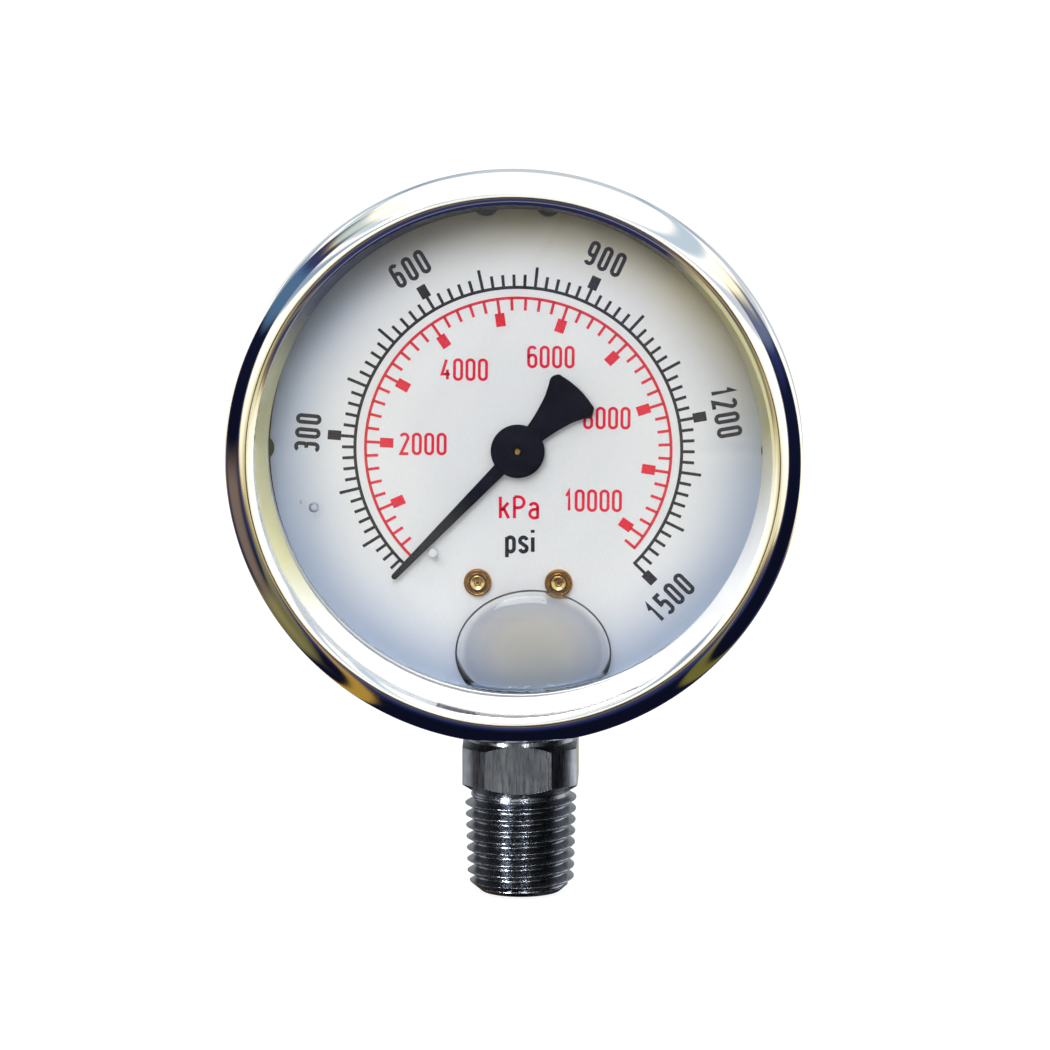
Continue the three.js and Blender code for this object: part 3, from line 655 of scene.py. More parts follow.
BY_SLOT = {
    "polished_steel": polished_steel(),
    "case_steel": case_steel(),
    "nickel": screw_nickel(),
    "window_clear": window_glass(),
    "seal_rubber": seal_rubber(),
    "dial_face": dial_paint(),
    "pin_white": pin_white(),
    "pointer_black": pointer_black(),
    "brass": brass("brass", (0.50, 0.30, 0.10), (0.78, 0.54, 0.22), 0.22),
    "spring_bronze": brass("spring_bronze", (0.58, 0.38, 0.18), (0.82, 0.60, 0.34), 0.25),
}


def paint_cad_nodes():
    """Each CAD node that stays in view gets the finish of its material slot."""
    for name, node in frame["nodes"].items():
        for slot in node.material_slots:
            slot.material = BY_SLOT[SLOT_OF[name]]


# ------------------------------------------------------------------ housing


def bezel_front(crest_r, crest_y, outer_r, shoulder):
    """The bezel's front, from the tilted land beside its wall over the crest to its outer side."""
    land = 1.0
    land_tilt = math.radians(20)
    land_steps, crest_steps = 9, 20
    radius = land / math.sin(land_tilt)
    line = [(crest_r - land, crest_y + land * math.tan(land_tilt / 2))]
    for i in range(1, land_steps + 1):
        angle = land_tilt * (1 - i / land_steps)
        line.append((crest_r - radius * math.sin(angle), crest_y + radius * (1 - math.cos(angle))))
    for i in range(1, crest_steps + 1):
        angle = math.radians(90 * i / crest_steps)
        out = (outer_r - crest_r) * math.sin(angle) ** 0.9
        line.append((crest_r + out, crest_y + shoulder * (1 - math.cos(angle))))
    return line


def build_bezel():
    """The polished ring: a rolled lip, a steep inner wall, a broad round crest and a crimped edge."""
    crest_y = BEZEL_LOW.y + 0.6
    crimp_y = BEZEL_HIGH.y
    lip_y = WINDOW_LOW.y - 0.05
    crest_r = LIP_R + 2.3
    outer_r = BEZEL_R + 0.35
    shoulder = 3.2
    sheet = 0.7
    front = bezel_front(crest_r, crest_y, outer_r, shoulder)
    lip = filleted([
        (LIP_R, lip_y + 0.02, 0),
        (LIP_R, lip_y, 0.1),
        (LIP_R, lip_y - 0.35, 0.15),
        (*front[0], 0),
    ])
    crimp_and_inside = filleted([
        (outer_r, crest_y + shoulder, 0),
        (outer_r, crest_y + 6.2, 2.0),
        (BEZEL_R - 1.2, crimp_y - 0.5, 1.0),
        (BEZEL_R - 3.2, crimp_y, 0.3),
        (BEZEL_R - 3.2, crimp_y - sheet, 0.2),
        (BEZEL_R - 1.7, crimp_y - sheet, 0.4),
        (outer_r - sheet, crest_y + 6.0, 1.0),
        (outer_r - sheet, crest_y + 2.5, 0.8),
        (crest_r - 0.1, crest_y + 0.9, 0.4),
        (LIP_R + 1.4, lip_y, 0.2),
    ])
    centre = (BEZEL_SHIFT_X, CASE_Z + BEZEL_SHIFT_Z)
    mesh = lathe("bezel", lip + front[1:] + crimp_and_inside, True, 256, centre)
    add_piece(mesh, "housing", "polished_steel", ["bezel_ring"])


def build_case():
    """The drawn cup: a rolled flange, a soft back edge and a pressed ring on its back, but no holes."""
    back = CASE_HIGH.y
    front = CASE_LOW.y
    inner = CASE_R - CASE_WALL
    ring_r = 20.0
    ring_deep = 0.35
    profile = filleted([
        (0, back - ring_deep, 0),
        (ring_r - 1.2, back - ring_deep, 0.8),
        (ring_r, back, 0.8),
        (CASE_R, back, 3.0),
        (CASE_R, front + CASE_WALL, 0.3),
        (FLANGE_R, front + CASE_WALL, 0.2),
        (FLANGE_R, front, 0.2),
        (inner, front, 0.2),
        (inner, back - CASE_WALL, 2.3),
        (ring_r, back - CASE_WALL, 0.8),
        (ring_r - 1.2, back - CASE_WALL - ring_deep, 0.8),
        (0, back - CASE_WALL - ring_deep, 0),
    ], steps=6)
    add_piece(lathe("case_shell", profile, centre=(0, CASE_Z)), "housing", "case_steel", ["case"])


def build_window():
    bevel = 0.3
    turned_piece("window_pane", [
        (0, WINDOW_LOW.y, 0),
        (WINDOW_R, WINDOW_LOW.y, bevel),
        (WINDOW_R, WINDOW_HIGH.y, bevel),
        (0, WINDOW_HIGH.y, 0),
    ], "housing", "window_clear", ["window"])


def build_gasket():
    soft = 0.2
    inner, outer = CASE_R, WINDOW_R - 0.1
    turned_piece("gasket_ring", [
        (inner, GASKET_LOW.y, soft),
        (outer, GASKET_LOW.y, soft),
        (outer, GASKET_HIGH.y, soft),
        (inner, GASKET_HIGH.y, soft),
    ], "housing", "seal_rubber", ["window_gasket"], closed=True)


def build_fill_plug():
    """The rubber plug: a shank with a narrower foot under a soft round head with a dished top."""
    low, high = box_mm("fill_plug")
    head_r = high.x
    under = high.z - 0.75
    turned_piece("filling_plug", [
        (0, low.z, 0),
        (head_r - 1.6, low.z, 0.5),
        (head_r - 1.1, low.z + 0.9, 0.3),
        (head_r - 1.1, under, 0.1),
        (head_r, under, 0.15),
        (head_r, high.z, 0.35),
        (head_r - 1.6, high.z, 0.3),
        (head_r - 2.2, high.z - 0.3, 0.3),
        (1.2, high.z - 0.3, 0.3),
        (0.8, high.z - 0.05, 0.2),
        (0, high.z - 0.05, 0),
    ], "fill_plug", "seal_rubber", ["fill_plug"], segments=96, centre=(0, 0), axis="Z")


# ------------------------------------------------------------------ dial


def dial_outline(radius):
    """The dial's round edge with its four notches, as (x, z) from the spindle."""
    notch_r = 1.7
    notches = ((3.7, 30.0), (-3.9, 30.0), (-31.2, 0.0), (31.0, 0.0))
    points_per_radian = 57
    half_steps = 10
    line = []
    edge_from = 0.0
    for x, z in notches:
        distance = math.hypot(x, z)
        middle = math.atan2(z, x) % (2 * math.pi) or 2 * math.pi
        half = math.acos((radius ** 2 + distance ** 2 - notch_r ** 2) / (2 * radius * distance))
        edge = middle - half - edge_from
        count = max(2, int(edge * points_per_radian))
        line += [
            (radius * math.cos(edge_from + edge * i / count), radius * math.sin(edge_from + edge * i / count))
            for i in range(count + 1)
        ]
        corner_x, corner_z = line[-1]
        open_angle = abs((math.atan2(corner_z - z, corner_x - x) - middle) % (2 * math.pi) - math.pi)
        for i in range(1, 2 * half_steps):
            angle = middle + math.pi + open_angle * (1 - i / half_steps)
            line.append((x + notch_r * math.cos(angle), z + notch_r * math.sin(angle)))
        edge_from = middle + half
    return line


def build_dial():
    centre_hole = arc(0, 0, 2.0, 0, 350, 35)
    loops = [dial_outline(DIAL_R + 0.3), centre_hole]
    shifted = [[(x, z + SPINDLE_Z) for x, z in loop] for loop in loops]
    mesh = plate("dial_plate", shifted, DIAL_LOW.y, DIAL_HIGH.y, 0.05)
    add_piece(mesh, "housing", "dial_face", ["dial"])


# ------------------------------------------------------------------ lettering, as thin raised ink


def glyph_0(w, h):
    r = w / 2
    return [(arc(r, h - r, r, 0, 180)[:-1] + arc(r, r, r, 180, 360)[:-1], True)]


def glyph_1(w, h):
    return [([(0.02 * w, 0.73 * h), (0.6 * w, h), (0.6 * w, 0)], False)]


def glyph_2(w, h):
    r = w / 2
    return [(arc(r, h - r, r, 160, -25) + [(0, 0), (w * 1.05, 0)], False)]


def glyph_3(w, h):
    r = w / 2
    bend = 0.36 * w
    middle = 0.53 * h
    upper = arc(r, h - r, r, 155, 0) + arc(w - bend, middle + bend, bend, 0, -90, 6) + [(0.35 * w, middle)]
    lower = [(0.35 * w, middle)] + arc(w - bend, middle - bend, bend, 90, 0, 6) + arc(r, r, r, 0, -155)
    return [(upper, False), (lower, False)]


def glyph_4(w, h):
    return [
        ([(0.62 * w, h), (0, 0.27 * h), (1.05 * w, 0.27 * h)], False),
        ([(0.74 * w, 0.5 * h), (0.74 * w, 0)], False),
    ]


def glyph_5(w, h):
    r = w / 2
    top = [(0.95 * w, h), (0.08 * w, h), (0.08 * w, 0.47 * h)]
    return [(top, False), (arc(r, 0.6 * h - r, r, 150, 0) + arc(r, r, r, 0, -155), False)]


def glyph_6(w, h):
    r = w / 2
    bowl = arc(r, r, r, 180, 360) + arc(r, 0.6 * h - r, r, 0, 175)
    return [(arc(r, h - r, r, 25, 180) + bowl, False)]


def glyph_8(w, h):
    r = w / 2
    small = 0.46 * w
    lower = arc(r, 0.56 * h - r, r, 0, 180)[:-1] + arc(r, r, r, 180, 360)[:-1]
    upper = arc(r, h - small, small, 0, 180)[:-1] + arc(r, 0.56 * h + small * 0.9, small, 180, 360)[:-1]
    return [(lower, True), (upper, True)]


def glyph_9(w, h):
    return [([(w - x, h - z) for x, z in line], closed) for line, closed in glyph_6(w, h)]


def glyph_k(w, h):
    small = 0.72 * h
    return [
        ([(0, 0), (0, h)], False),
        ([(0.12 * w, 0.5 * small), (0.95 * w, small)], False),
        ([(0.38 * w, 0.66 * small), (w, 0)], False),
    ]


def glyph_P(w, h):
    r = 0.255 * h
    bowl = [(0, h)] + arc(w - r, h - r, r, 90, -90) + [(0, h - 2 * r)]
    return [([(0, 0), (0, h)], False), (bowl, False)]


def glyph_a(w, h):
    small = 0.7 * h
    r = w / 2
    low = 0.29 * small
    bowl = [(w, 0.6 * small)] + arc(low, 0.6 * small - low, low, 90, 270) + [(w, 0.06 * small)]
    return [(arc(r, small - r, r, 160, 0) + [(w, 0)], False), (bowl, False)]


def glyph_p(w, h):
    small = 0.7 * h
    r = w / 2
    loop = arc(r, small - r, r, 180, 0) + arc(r, r, r, 0, -180)
    return [([(0, -0.27 * h), (0, small)], False), (loop, True)]


def glyph_s(w, h):
    small = 0.7 * h
    r = w / 2
    return [(arc(r, small - r, r, 10, 215) + arc(r, r, r, 35, -170), False)]


def glyph_i(w, h):
    return [([(0, 0), (0, 0.7 * h)], False), ([(0, 0.92 * h), (0, 1.06 * h)], False)]


GLYPHS = {
    "0": glyph_0, "1": glyph_1, "2": glyph_2, "3": glyph_3, "4": glyph_4, "5": glyph_5, "6": glyph_6,
    "8": glyph_8, "9": glyph_9, "k": glyph_k, "P": glyph_P, "a": glyph_a, "p": glyph_p, "s": glyph_s,
    "i": glyph_i,
}


def at_angle(radius, angle):
    return radius * math.cos(angle), radius * math.sin(angle)


class Print:
    """Ink on the dial: strokes of constant width, each a thin closed strip, in one mesh."""

    def __init__(self, lift):
        self.vertices = []
        self.faces = []
        self.front = DIAL_LOW.y - lift
        self.back = DIAL_LOW.y + 0.01

    def stroke(self, line, width, closed=False, place=None):
        """Adds a strip along a line of points, given from the spindle unless place moves them."""
        points = [Vector(place(x, z) if place else (x, z)) for x, z in line]
        points = [point for i, point in enumerate(points) if i == 0 or (point - points[i - 1]).length > 1e-4]
        count = len(points)
        first = len(self.vertices)
        for i, point in enumerate(points):
            ahead = points[(i + 1) % count] - point if closed or i < count - 1 else None
            behind = point - points[i - 1] if closed or i > 0 else None
            directions = [d.normalized() for d in (ahead, behind) if d is not None]
            along = sum(directions, Vector((0, 0))).normalized()
            across = Vector((-along.y, along.x))
            miter = max(0.4, across.dot(Vector((-directions[0].y, directions[0].x))))
            half = across * width / 2 / miter
            for side in (point + half, point - half):
                for depth in (self.front, self.back):
                    self.vertices.append((side.x, depth, side.y + SPINDLE_Z))
        for i in range(count if closed else count - 1):
            a = first + 4 * i
            b = first + 4 * ((i + 1) % count)
            for p, q in ((0, 1), (1, 3), (3, 2), (2, 0)):
                self.faces.append((a + p, a + q, b + q, b + p))
        if not closed:
            last = first + 4 * (count - 1)
            self.faces.append((first, first + 2, first + 3, first + 1))
            self.faces.append((last, last + 1, last + 3, last + 2))

    def text(self, word, centre, turn, height, wide, stroke, gap, widths=None):
        """Adds a word, centred on a point and turned, with glyphs of one outer width and height."""
        sizes = [(widths or {}).get(letter, wide) for letter in word]
        left = -(sum(sizes) + gap * (len(word) - 1)) / 2
        cosine, sine = math.cos(turn), math.sin(turn)
        for letter, size in zip(word, sizes):
            def place(x, z, start=left):
                u = start + stroke / 2 + x
                v = -height / 2 + stroke / 2 + z
                return centre[0] + u * cosine - v * sine, centre[1] + u * sine + v * cosine
            for line, closed in GLYPHS[letter](size - stroke, height - stroke):
                self.stroke(line, stroke, closed, place)
            left += size + gap

    def radial(self, angle, inner, outer, width):
        self.stroke([at_angle(inner, angle), at_angle(outer, angle)], width)

    def ring(self, radius, start, end, width):
        self.stroke(arc(0, 0, radius, start, end, 180), width)

    def piece(self, name, material):
        mesh = mesh_from(name, self.vertices, self.faces, merge=None)
        add_piece(mesh, "housing", "dial_face", material=material)


def psi_angle(value):
    """The angle of a psi mark, in degrees from +X."""
    return 230.9 - 0.18357 * value


def kpa_angle(value):
    """The angle of a kPa mark, in degrees from +X."""
    return 230.5 - 0.02655 * value


def build_psi_scale():
    """The outer scale: a tick each 20 psi, a longer one each 100 and a block each 300."""
    scale = Print(0.020)
    line_r, tick_r, long_tick_r, block_r = 19.74, 21.3, 22.3, 23.08
    digits = {"height": 3.1, "wide": 1.29, "stroke": 0.47, "gap": 0.42, "widths": {"1": 0.97}}
    scale.ring(line_r, SCALE_START, psi_angle(1500) - 0.45, 0.38)
    for value in range(40, 1501, 20):
        angle = math.radians(psi_angle(value))
        reach = long_tick_r if value % 100 == 0 else tick_r
        if value % 300 == 0:
            scale.radial(angle, block_r - BLOCK_LONG, block_r, BLOCK_WIDE)
            reach = block_r - BLOCK_LONG + 0.1
        scale.radial(angle, line_r, reach, 0.37)
    for value in (300, 600, 900, 1200):
        angle = math.radians(psi_angle(value))
        scale.text(str(value), at_angle(25.5, angle), angle - math.pi / 2, **digits)
    angle = math.radians(psi_angle(1500))
    scale.text("1500", at_angle(25.75, angle), angle + math.pi / 2, **digits)
    scale.text("psi", (0.2, -11.25), 0, 3.0, 1.3, 0.46, 0.26, {"i": 0.46, "p": 1.32, "s": 1.29})
    scale.piece("dial_print_black", ink("black_ink", (0.006, 0.006, 0.024)))


def build_kpa_scale():
    """The inner scale: a tick each 200 kPa and a block each 1000."""
    scale = Print(0.016)
    line_r, tick_r, block_r = 18.46, 16.95, 15.1
    scale.ring(line_r, SCALE_START, kpa_angle(10200) - 0.5, 0.35)
    for value in range(400, 10201, 200):
        angle = math.radians(kpa_angle(value))
        reach = tick_r
        if value % 1000 == 0:
            scale.radial(angle, block_r, block_r + BLOCK_LONG, BLOCK_WIDE)
            reach = block_r + BLOCK_LONG - 0.1
        scale.radial(angle, reach, line_r, 0.35)
    places = {
        "2000": (-11.5, 0.6), "4000": (-6.5, 9.7), "6000": (3.95, 11.3), "8000": (10.7, 3.9),
        "10000": (9.1, -6.2),
    }
    for word, centre in places.items():
        scale.text(word, centre, 0, 2.76, 1.23, 0.35, 0.27, {"1": 0.9})
    scale.text("kPa", (0.1, -7.1), 0, 3.0, 1.38, 0.37, 0.32, {"k": 1.38, "P": 1.54, "a": 1.32})
    scale.piece("dial_print_red", ink("red_ink", (0.66, 0.010, 0.045)))


# ------------------------------------------------------------------ screws, pin and pointer


def build_dial_screws():
    """Two brass screws, each with a round middle in a dished head."""
    brown_rings = ringed_brass()
    for side in ("left", "right"):
        node = "dial_screw_" + side
        low, high = box_mm(node)
        head_r = (high.x - low.x) / 2
        shank_r = 1.0
        top = low.y
        seat = DIAL_LOW.y - 0.05
        turned_piece("brass_" + node, [
            (0, top + 0.45, 0),
            (0.3, top + 0.45, 0.08),
            (0.42, top + 0.12, 0.08),
            (0.5, top + 0.1, 0.1),
            (0.85, top, 0.25),
            (1.05, top + 0.12, 0.12),
            (1.12, top + 0.5, 0.08),
            (1.24, top + 0.52, 0.05),
            (1.34, top + 0.3, 0.1),
            (1.6, top + 0.3, 0.12),
            (head_r, top + 0.55, 0.2),
            (head_r, seat, 0.05),
            (shank_r, seat, 0.02),
            (shank_r, high.y, 0.1),
            (0, high.y, 0),
        ], "housing", "brass", [node], segments=64, centre=middle_of(low, high), material=brown_rings)


def build_stop_pin():
    low, high = box_mm("stop_pin")
    radius = (high.x - low.x) / 2
    corners = [(0, low.y, 0), (radius, low.y, 0.18), (radius, high.y, 0.05), (0, high.y, 0)]
    centre = middle_of(low, high)
    turned_piece("zero_stop_pin", corners, "housing", "pin_white", ["stop_pin"], segments=40, centre=centre)


def quadratic(start, middle, end, steps=8):
    """Points after the start on a quadratic curve."""
    points = []
    for i in range(1, steps + 1):
        t = i / steps
        shares = (1 - t) ** 2, 2 * t * (1 - t), t * t
        points.append(tuple(sum(s * p for s, p in zip(shares, axis)) for axis in zip(start, middle, end)))
    return points


def pointer_outline():
    """The blade along +X and the flared tail along -X, as (x, z) from the spindle."""
    tip = 21.9
    tip_half = 0.36
    upper = [(tip - tip_half, tip_half), (2.0, 0.85), (-2.4, 1.2)]
    upper += quadratic((-2.4, 1.2), (-4.6, 1.45), (-7.2, 2.35))
    upper += [(-8.6, 3.05)]
    upper += quadratic((-8.6, 3.05), (-9.2, 3.55), (-9.8, 3.2))
    upper += quadratic((-9.8, 3.2), (-10.35, 2.95), (-10.3, 2.5))
    upper += quadratic((-10.3, 2.5), (-10.6, 1.2), (-10.6, 0.0), 5)
    lower = [(x, -z) for x, z in reversed(upper[:-1])]
    nose = arc(tip - tip_half, 0, tip_half, -90, 90, 10)[1:-1]
    return upper + lower + nose


def build_pointer():
    cosine, sine = math.cos(REST_ANGLE), math.sin(REST_ANGLE)
    blade = [(x * cosine - z * sine, x * sine + z * cosine + SPINDLE_Z) for x, z in pointer_outline()]
    mesh = plate("pointer_blade", [blade], BLADE_LOW.y, BLADE_HIGH.y, 0.07)
    add_piece(mesh, "pointer", "pointer_black", ["pointer"])


def build_hub():
    radius = (HUB_HIGH.x - HUB_LOW.x) / 2
    bore_r, neck_r = 0.42, 1.4
    under = BLADE_LOW.y - 0.03
    turned_piece("hub_boss", [
        (bore_r, HUB_LOW.y + 0.3, 0.05),
        (0.6, HUB_LOW.y + 0.06, 0.1),
        (1.1, HUB_LOW.y, 0.2),
        (radius - 0.35, HUB_LOW.y + 0.04, 0.3),
        (radius, HUB_LOW.y + 0.3, 0.2),
        (radius, under, 0.05),
        (neck_r, under, 0.02),
        (neck_r, HUB_HIGH.y, 0.05),
        (bore_r, HUB_HIGH.y, 0.05),
    ], "pointer", "pointer_black", ["pointer_hub"], closed=True, segments=96, centre=(0, SPINDLE_Z))


def build_arbor_end():
    """The rounded brass end that shows in the hub's middle, over the CAD arbor."""
    front = box_mm("pinion_arbor")[0].y
    radius = 0.41
    long = 0.9
    turned_piece("arbor_end", [
        (0, front, 0),
        (0.36, front + 0.05, 0.1),
        (radius, front + 0.25, 0.1),
        (radius, front + long, 0),
        (0, front + long, 0),
    ], "pointer", "brass", segments=40, centre=(0, SPINDLE_Z))


# ------------------------------------------------------------------ bubbles in the liquid


def bubble_point(angle, tilt, middle, half_deep):
    """A point of the flattened bubble, cut off where it meets the case."""
    spread = math.sin(tilt) ** BUBBLE_ROUND
    depth = middle - half_deep * math.copysign(abs(math.cos(tilt)) ** 0.9, math.cos(tilt))
    height = BUBBLE_UP if math.sin(angle) > 0 else BUBBLE_DOWN
    x = BUBBLE_X + BUBBLE_WIDE * spread * math.cos(angle)
    z = BUBBLE_Z + height * spread * math.sin(angle)
    out = Vector((x, z - CASE_Z))
    if out.length > BUBBLE_END_R:
        out *= BUBBLE_END_R / out.length
    return out.x, depth, out.y + CASE_Z


def build_bubble():
    """The large flat air bubble at the foot of the dial, pressed between the window and the dial."""
    gap = 0.06
    front = WINDOW_HIGH.y + gap
    back = DIAL_LOW.y - gap
    round_steps, deep_steps = 128, 28
    vertices = []
    for j in range(deep_steps + 1):
        tilt = math.pi * j / deep_steps
        for i in range(round_steps):
            angle = 2 * math.pi * i / round_steps
            vertices.append(bubble_point(angle, tilt, (front + back) / 2, (back - front) / 2))
    mesh = mesh_from("air_bubble", vertices, ring_faces(deep_steps + 1, round_steps))
    add_piece(mesh, "housing", "window_clear", material=bubble_air(), smooth_angle=80)


def build_small_bubbles():
    air = small_bubble_air()
    steps = 16
    for name, x, z, radius in (("small_bubble_a", -24.7, -7.0, 0.62), ("small_bubble_b", -26.2, -6.25, 0.2)):
        y = WINDOW_HIGH.y + radius + 0.1
        angles = [math.pi * i / steps for i in range(steps + 1)]
        profile = [(radius * math.sin(angle), y - radius * math.cos(angle)) for angle in angles]
        mesh = lathe(name, profile, False, 32, (x, z + SPINDLE_Z))
        add_piece(mesh, "housing", "window_clear", material=air, smooth_angle=80)


# ------------------------------------------------------------------ stem


def bore_column():
    """Points down the stem's blind bore and out over its chamfered mouth, as (radius, z)."""
    chamfer = 0.4
    return [(0.001, BORE_DEEP + 1.2), (BORE_R, BORE_DEEP), (BORE_R, chamfer), (BORE_R + chamfer, 0.0)]


def thread_column(share):
    """Points up the thread, at a share of a turn round the stem, as (radius, z)."""
    rows = 260
    lead = 0.31
    root, flank = 0.12, 0.82
    run_out = 0.6
    blunt_r, blunt_slope = 4.9, 1.19
    column = []
    for j in range(rows + 1):
        z = THREAD_TOP * j / rows
        phase = abs(((z - lead) / PITCH - share) % 1.0 - 0.5) * 2
        height = min(1.0, max(0.0, (phase - root) / flank)) * min(1.0, (THREAD_TOP - z) / run_out)
        radius = THREAD_END_R + z * THREAD_TAPER - THREAD_DEEP * (1 - height)
        column.append((min(radius, blunt_r + z * blunt_slope), z))
    return column


def wrench_column(angle):
    """Points up the square wrench section, turned off at both ends, then the collar and the neck."""
    quarter = math.pi / 2
    folded = (angle + quarter / 2) % quarter - quarter / 2
    reach = min(CORNER_R, FLAT_HALF / math.cos(folded))
    undercut_top = 12.5
    low_rise, low_run = 1.4, 2.2
    high_rise, high_run = 0.65, 1.1
    low_z = undercut_top + (reach - UNDERCUT_R) * low_rise / low_run
    high_z = WRENCH_HIGH + (CORNER_R - reach) * high_rise / high_run
    edge = 0.2
    return [
        (UNDERCUT_R, THREAD_TOP),
        (UNDERCUT_R, undercut_top),
        (reach, low_z),
        (reach, high_z),
        (FLAT_HALF, WRENCH_HIGH + high_rise),
        (FLAT_HALF, COLLAR_TOP - edge),
        (FLAT_HALF - edge, COLLAR_TOP),
        (NECK_R, COLLAR_TOP),
        (NECK_R, BLOCK_LOW),
    ]


def build_stem():
    """Bore, thread, wrench section and collar as one mesh of upright columns, ending inside the case."""
    columns = 96
    vertices = []
    for i in range(columns):
        angle = 2 * math.pi * i / columns
        column = bore_column() + thread_column(i / columns) + wrench_column(angle)
        vertices += [(radius * math.cos(angle), radius * math.sin(angle), z) for radius, z in column]
    count = len(vertices) // columns
    faces = [tuple(i * count + count - 1 for i in range(columns))]
    for i in range(columns):
        here, beside = i * count, (i + 1) % columns * count
        faces += [(here + j, beside + j, beside + j + 1, here + j + 1) for j in range(count - 1)]
    mesh = mesh_from("threaded_stem", vertices, faces)
    piece = add_piece(mesh, "housing", "nickel", material=dark_nickel(), smooth_angle=28)
    soften(piece, 0.03, 32)


def build_block():
    """The block inside the case: the CAD stem above the neck, with softened edges."""
    mesh = frame["nodes"]["socket_stem"].data.copy()
    mesh.transform(Matrix.Scale(1 / MM, 4))
    tool = bmesh.new()
    tool.from_mesh(mesh)
    bmesh.ops.remove_doubles(tool, verts=tool.verts, dist=1e-3)
    everything = tool.verts[:] + tool.edges[:] + tool.faces[:]
    made = bmesh.ops.bisect_plane(
        tool, geom=everything, plane_co=(0, 0, BLOCK_LOW), plane_no=(0, 0, 1), clear_inner=True
    )
    rim = [part for part in made["geom_cut"] if isinstance(part, bmesh.types.BMEdge)]
    bmesh.ops.triangle_fill(tool, edges=rim, use_beauty=True)
    bmesh.ops.recalc_face_normals(tool, faces=tool.faces)
    tool.to_mesh(mesh)
    tool.free()
    mesh.name = "socket_block"
    soften(add_piece(mesh, "housing", "nickel", ["socket_stem"]), 0.15, 40)


# ------------------------------------------------------------------ hidden spring tube


def build_bourdon_tube():
    """The flattened C-shaped tube, closed at both ends."""
    radius, centre_y = 23.0, 2.5
    wide, thick = 8.0, 3.0
    start, end = math.radians(-104), math.radians(-380)
    steps, half_around = 120, 11
    straight = (wide - thick) / 2
    section = arc(0, straight, thick / 2, 0, 180, half_around)
    section += arc(0, -straight, thick / 2, 180, 360, half_around)
    vertices = []
    for i in range(steps + 1):
        angle = start + (end - start) * i / steps
        for across, along in section:
            reach = radius + across
            vertices.append((reach * math.cos(angle), centre_y + along, SPINDLE_Z + reach * math.sin(angle)))
    count = len(section)
    faces = [tuple(range(count)), tuple(steps * count + j for j in range(count))]
    faces += ring_faces(steps + 1, count)
    piece = add_piece(mesh_from("spring_tube", vertices, faces), None, "spring_bronze", ["bourdon_tube"])
    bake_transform(piece)


# ------------------------------------------------------------------ studio


def camera_direction():
    """Towards the camera, from the object."""
    azimuth, elevation = math.radians(CAMERA_AZIMUTH), math.radians(CAMERA_ELEVATION)
    return Vector((
        math.sin(azimuth) * math.cos(elevation),
        -math.cos(azimuth) * math.cos(elevation),
        math.sin(elevation),
    ))


def build_camera():
    target = Vector((0.8 * MM, DIAL_LOW.y * MM, 46.6 * MM))
    data = bpy.data.cameras.new("camera")
    data.sensor_width = 36
    data.lens = CAMERA_LENS
    data.clip_start = 0.01
    camera = bpy.data.objects.new("camera", data)
    bpy.context.scene.collection.objects.link(camera)
    back = camera_direction()
    camera.location = target + back * CAMERA_DISTANCE
    camera.rotation_euler = (-back).to_track_quat("-Z", "Y").to_euler()
    bpy.context.scene.camera = camera


def build_floor():
    """A pale plane for the camera's eye only: no mirror, glass or shade of the object takes it in."""
    half = 6.0
    corners = [(-half, -half, 0), (half, -half, 0), (half, half, 0), (-half, half, 0)]
    mesh = mesh_from("floor", corners, [(0, 1, 2, 3)])
    floor = bpy.data.objects.new("floor", mesh)
    bpy.context.scene.collection.objects.link(floor)
    floor.location.z = -0.0004
    floor.visible_glossy = False
    floor.visible_diffuse = False
    floor.visible_transmission = False
    pale = Finish(
        "pale_floor", Base_Color=(0.3, 0.3, 0.3), Roughness=1.0, Specular_IOR_Level=0.0,
        Emission_Color=(1, 1, 1), Emission_Strength=0.9,
    )
    mesh.materials.append(pale.material)


def room_bands(nodes, direction):
    """The room's colour by height, dark below and white above, leaning to one side and uneven."""
    uneven = nodes.math("MULTIPLY", nodes.noise(direction, 3, 0.5, 2.6), 0.2)
    facing = nodes.math("ABSOLUTE", nodes.measure("DOT_PRODUCT", direction, (0, 1, 0)))
    darker_beside = nodes.spread(facing, 0.5, 0.82, -0.8, 0, smooth=True)
    height = nodes.math("ADD", nodes.measure("DOT_PRODUCT", direction, (0.146, 0, 1.0)), uneven)
    height = nodes.math("ADD", height, darker_beside)
    bands = [
        (-1.0, (0.004, 0.005, 0.016)),
        (-0.55, (0.006, 0.008, 0.030)),
        (-0.36, (0.028, 0.038, 0.140)),
        (-0.28, (0.060, 0.055, 0.100)),
        (-0.235, (0.30, 0.22, 0.12)),
        (-0.21, (0.80, 0.70, 0.40)),
        (-0.165, (1.1, 1.04, 0.78)),
        (-0.06, (1.15, 1.15, 1.10)),
        (1.0, (1.10, 1.13, 1.16)),
    ]
    stops = [((level + 1) / 2, color) for level, color in bands]
    return nodes.ramp(nodes.math("MULTIPLY", nodes.math("ADD", height, 0.9), 0.5), *stops)


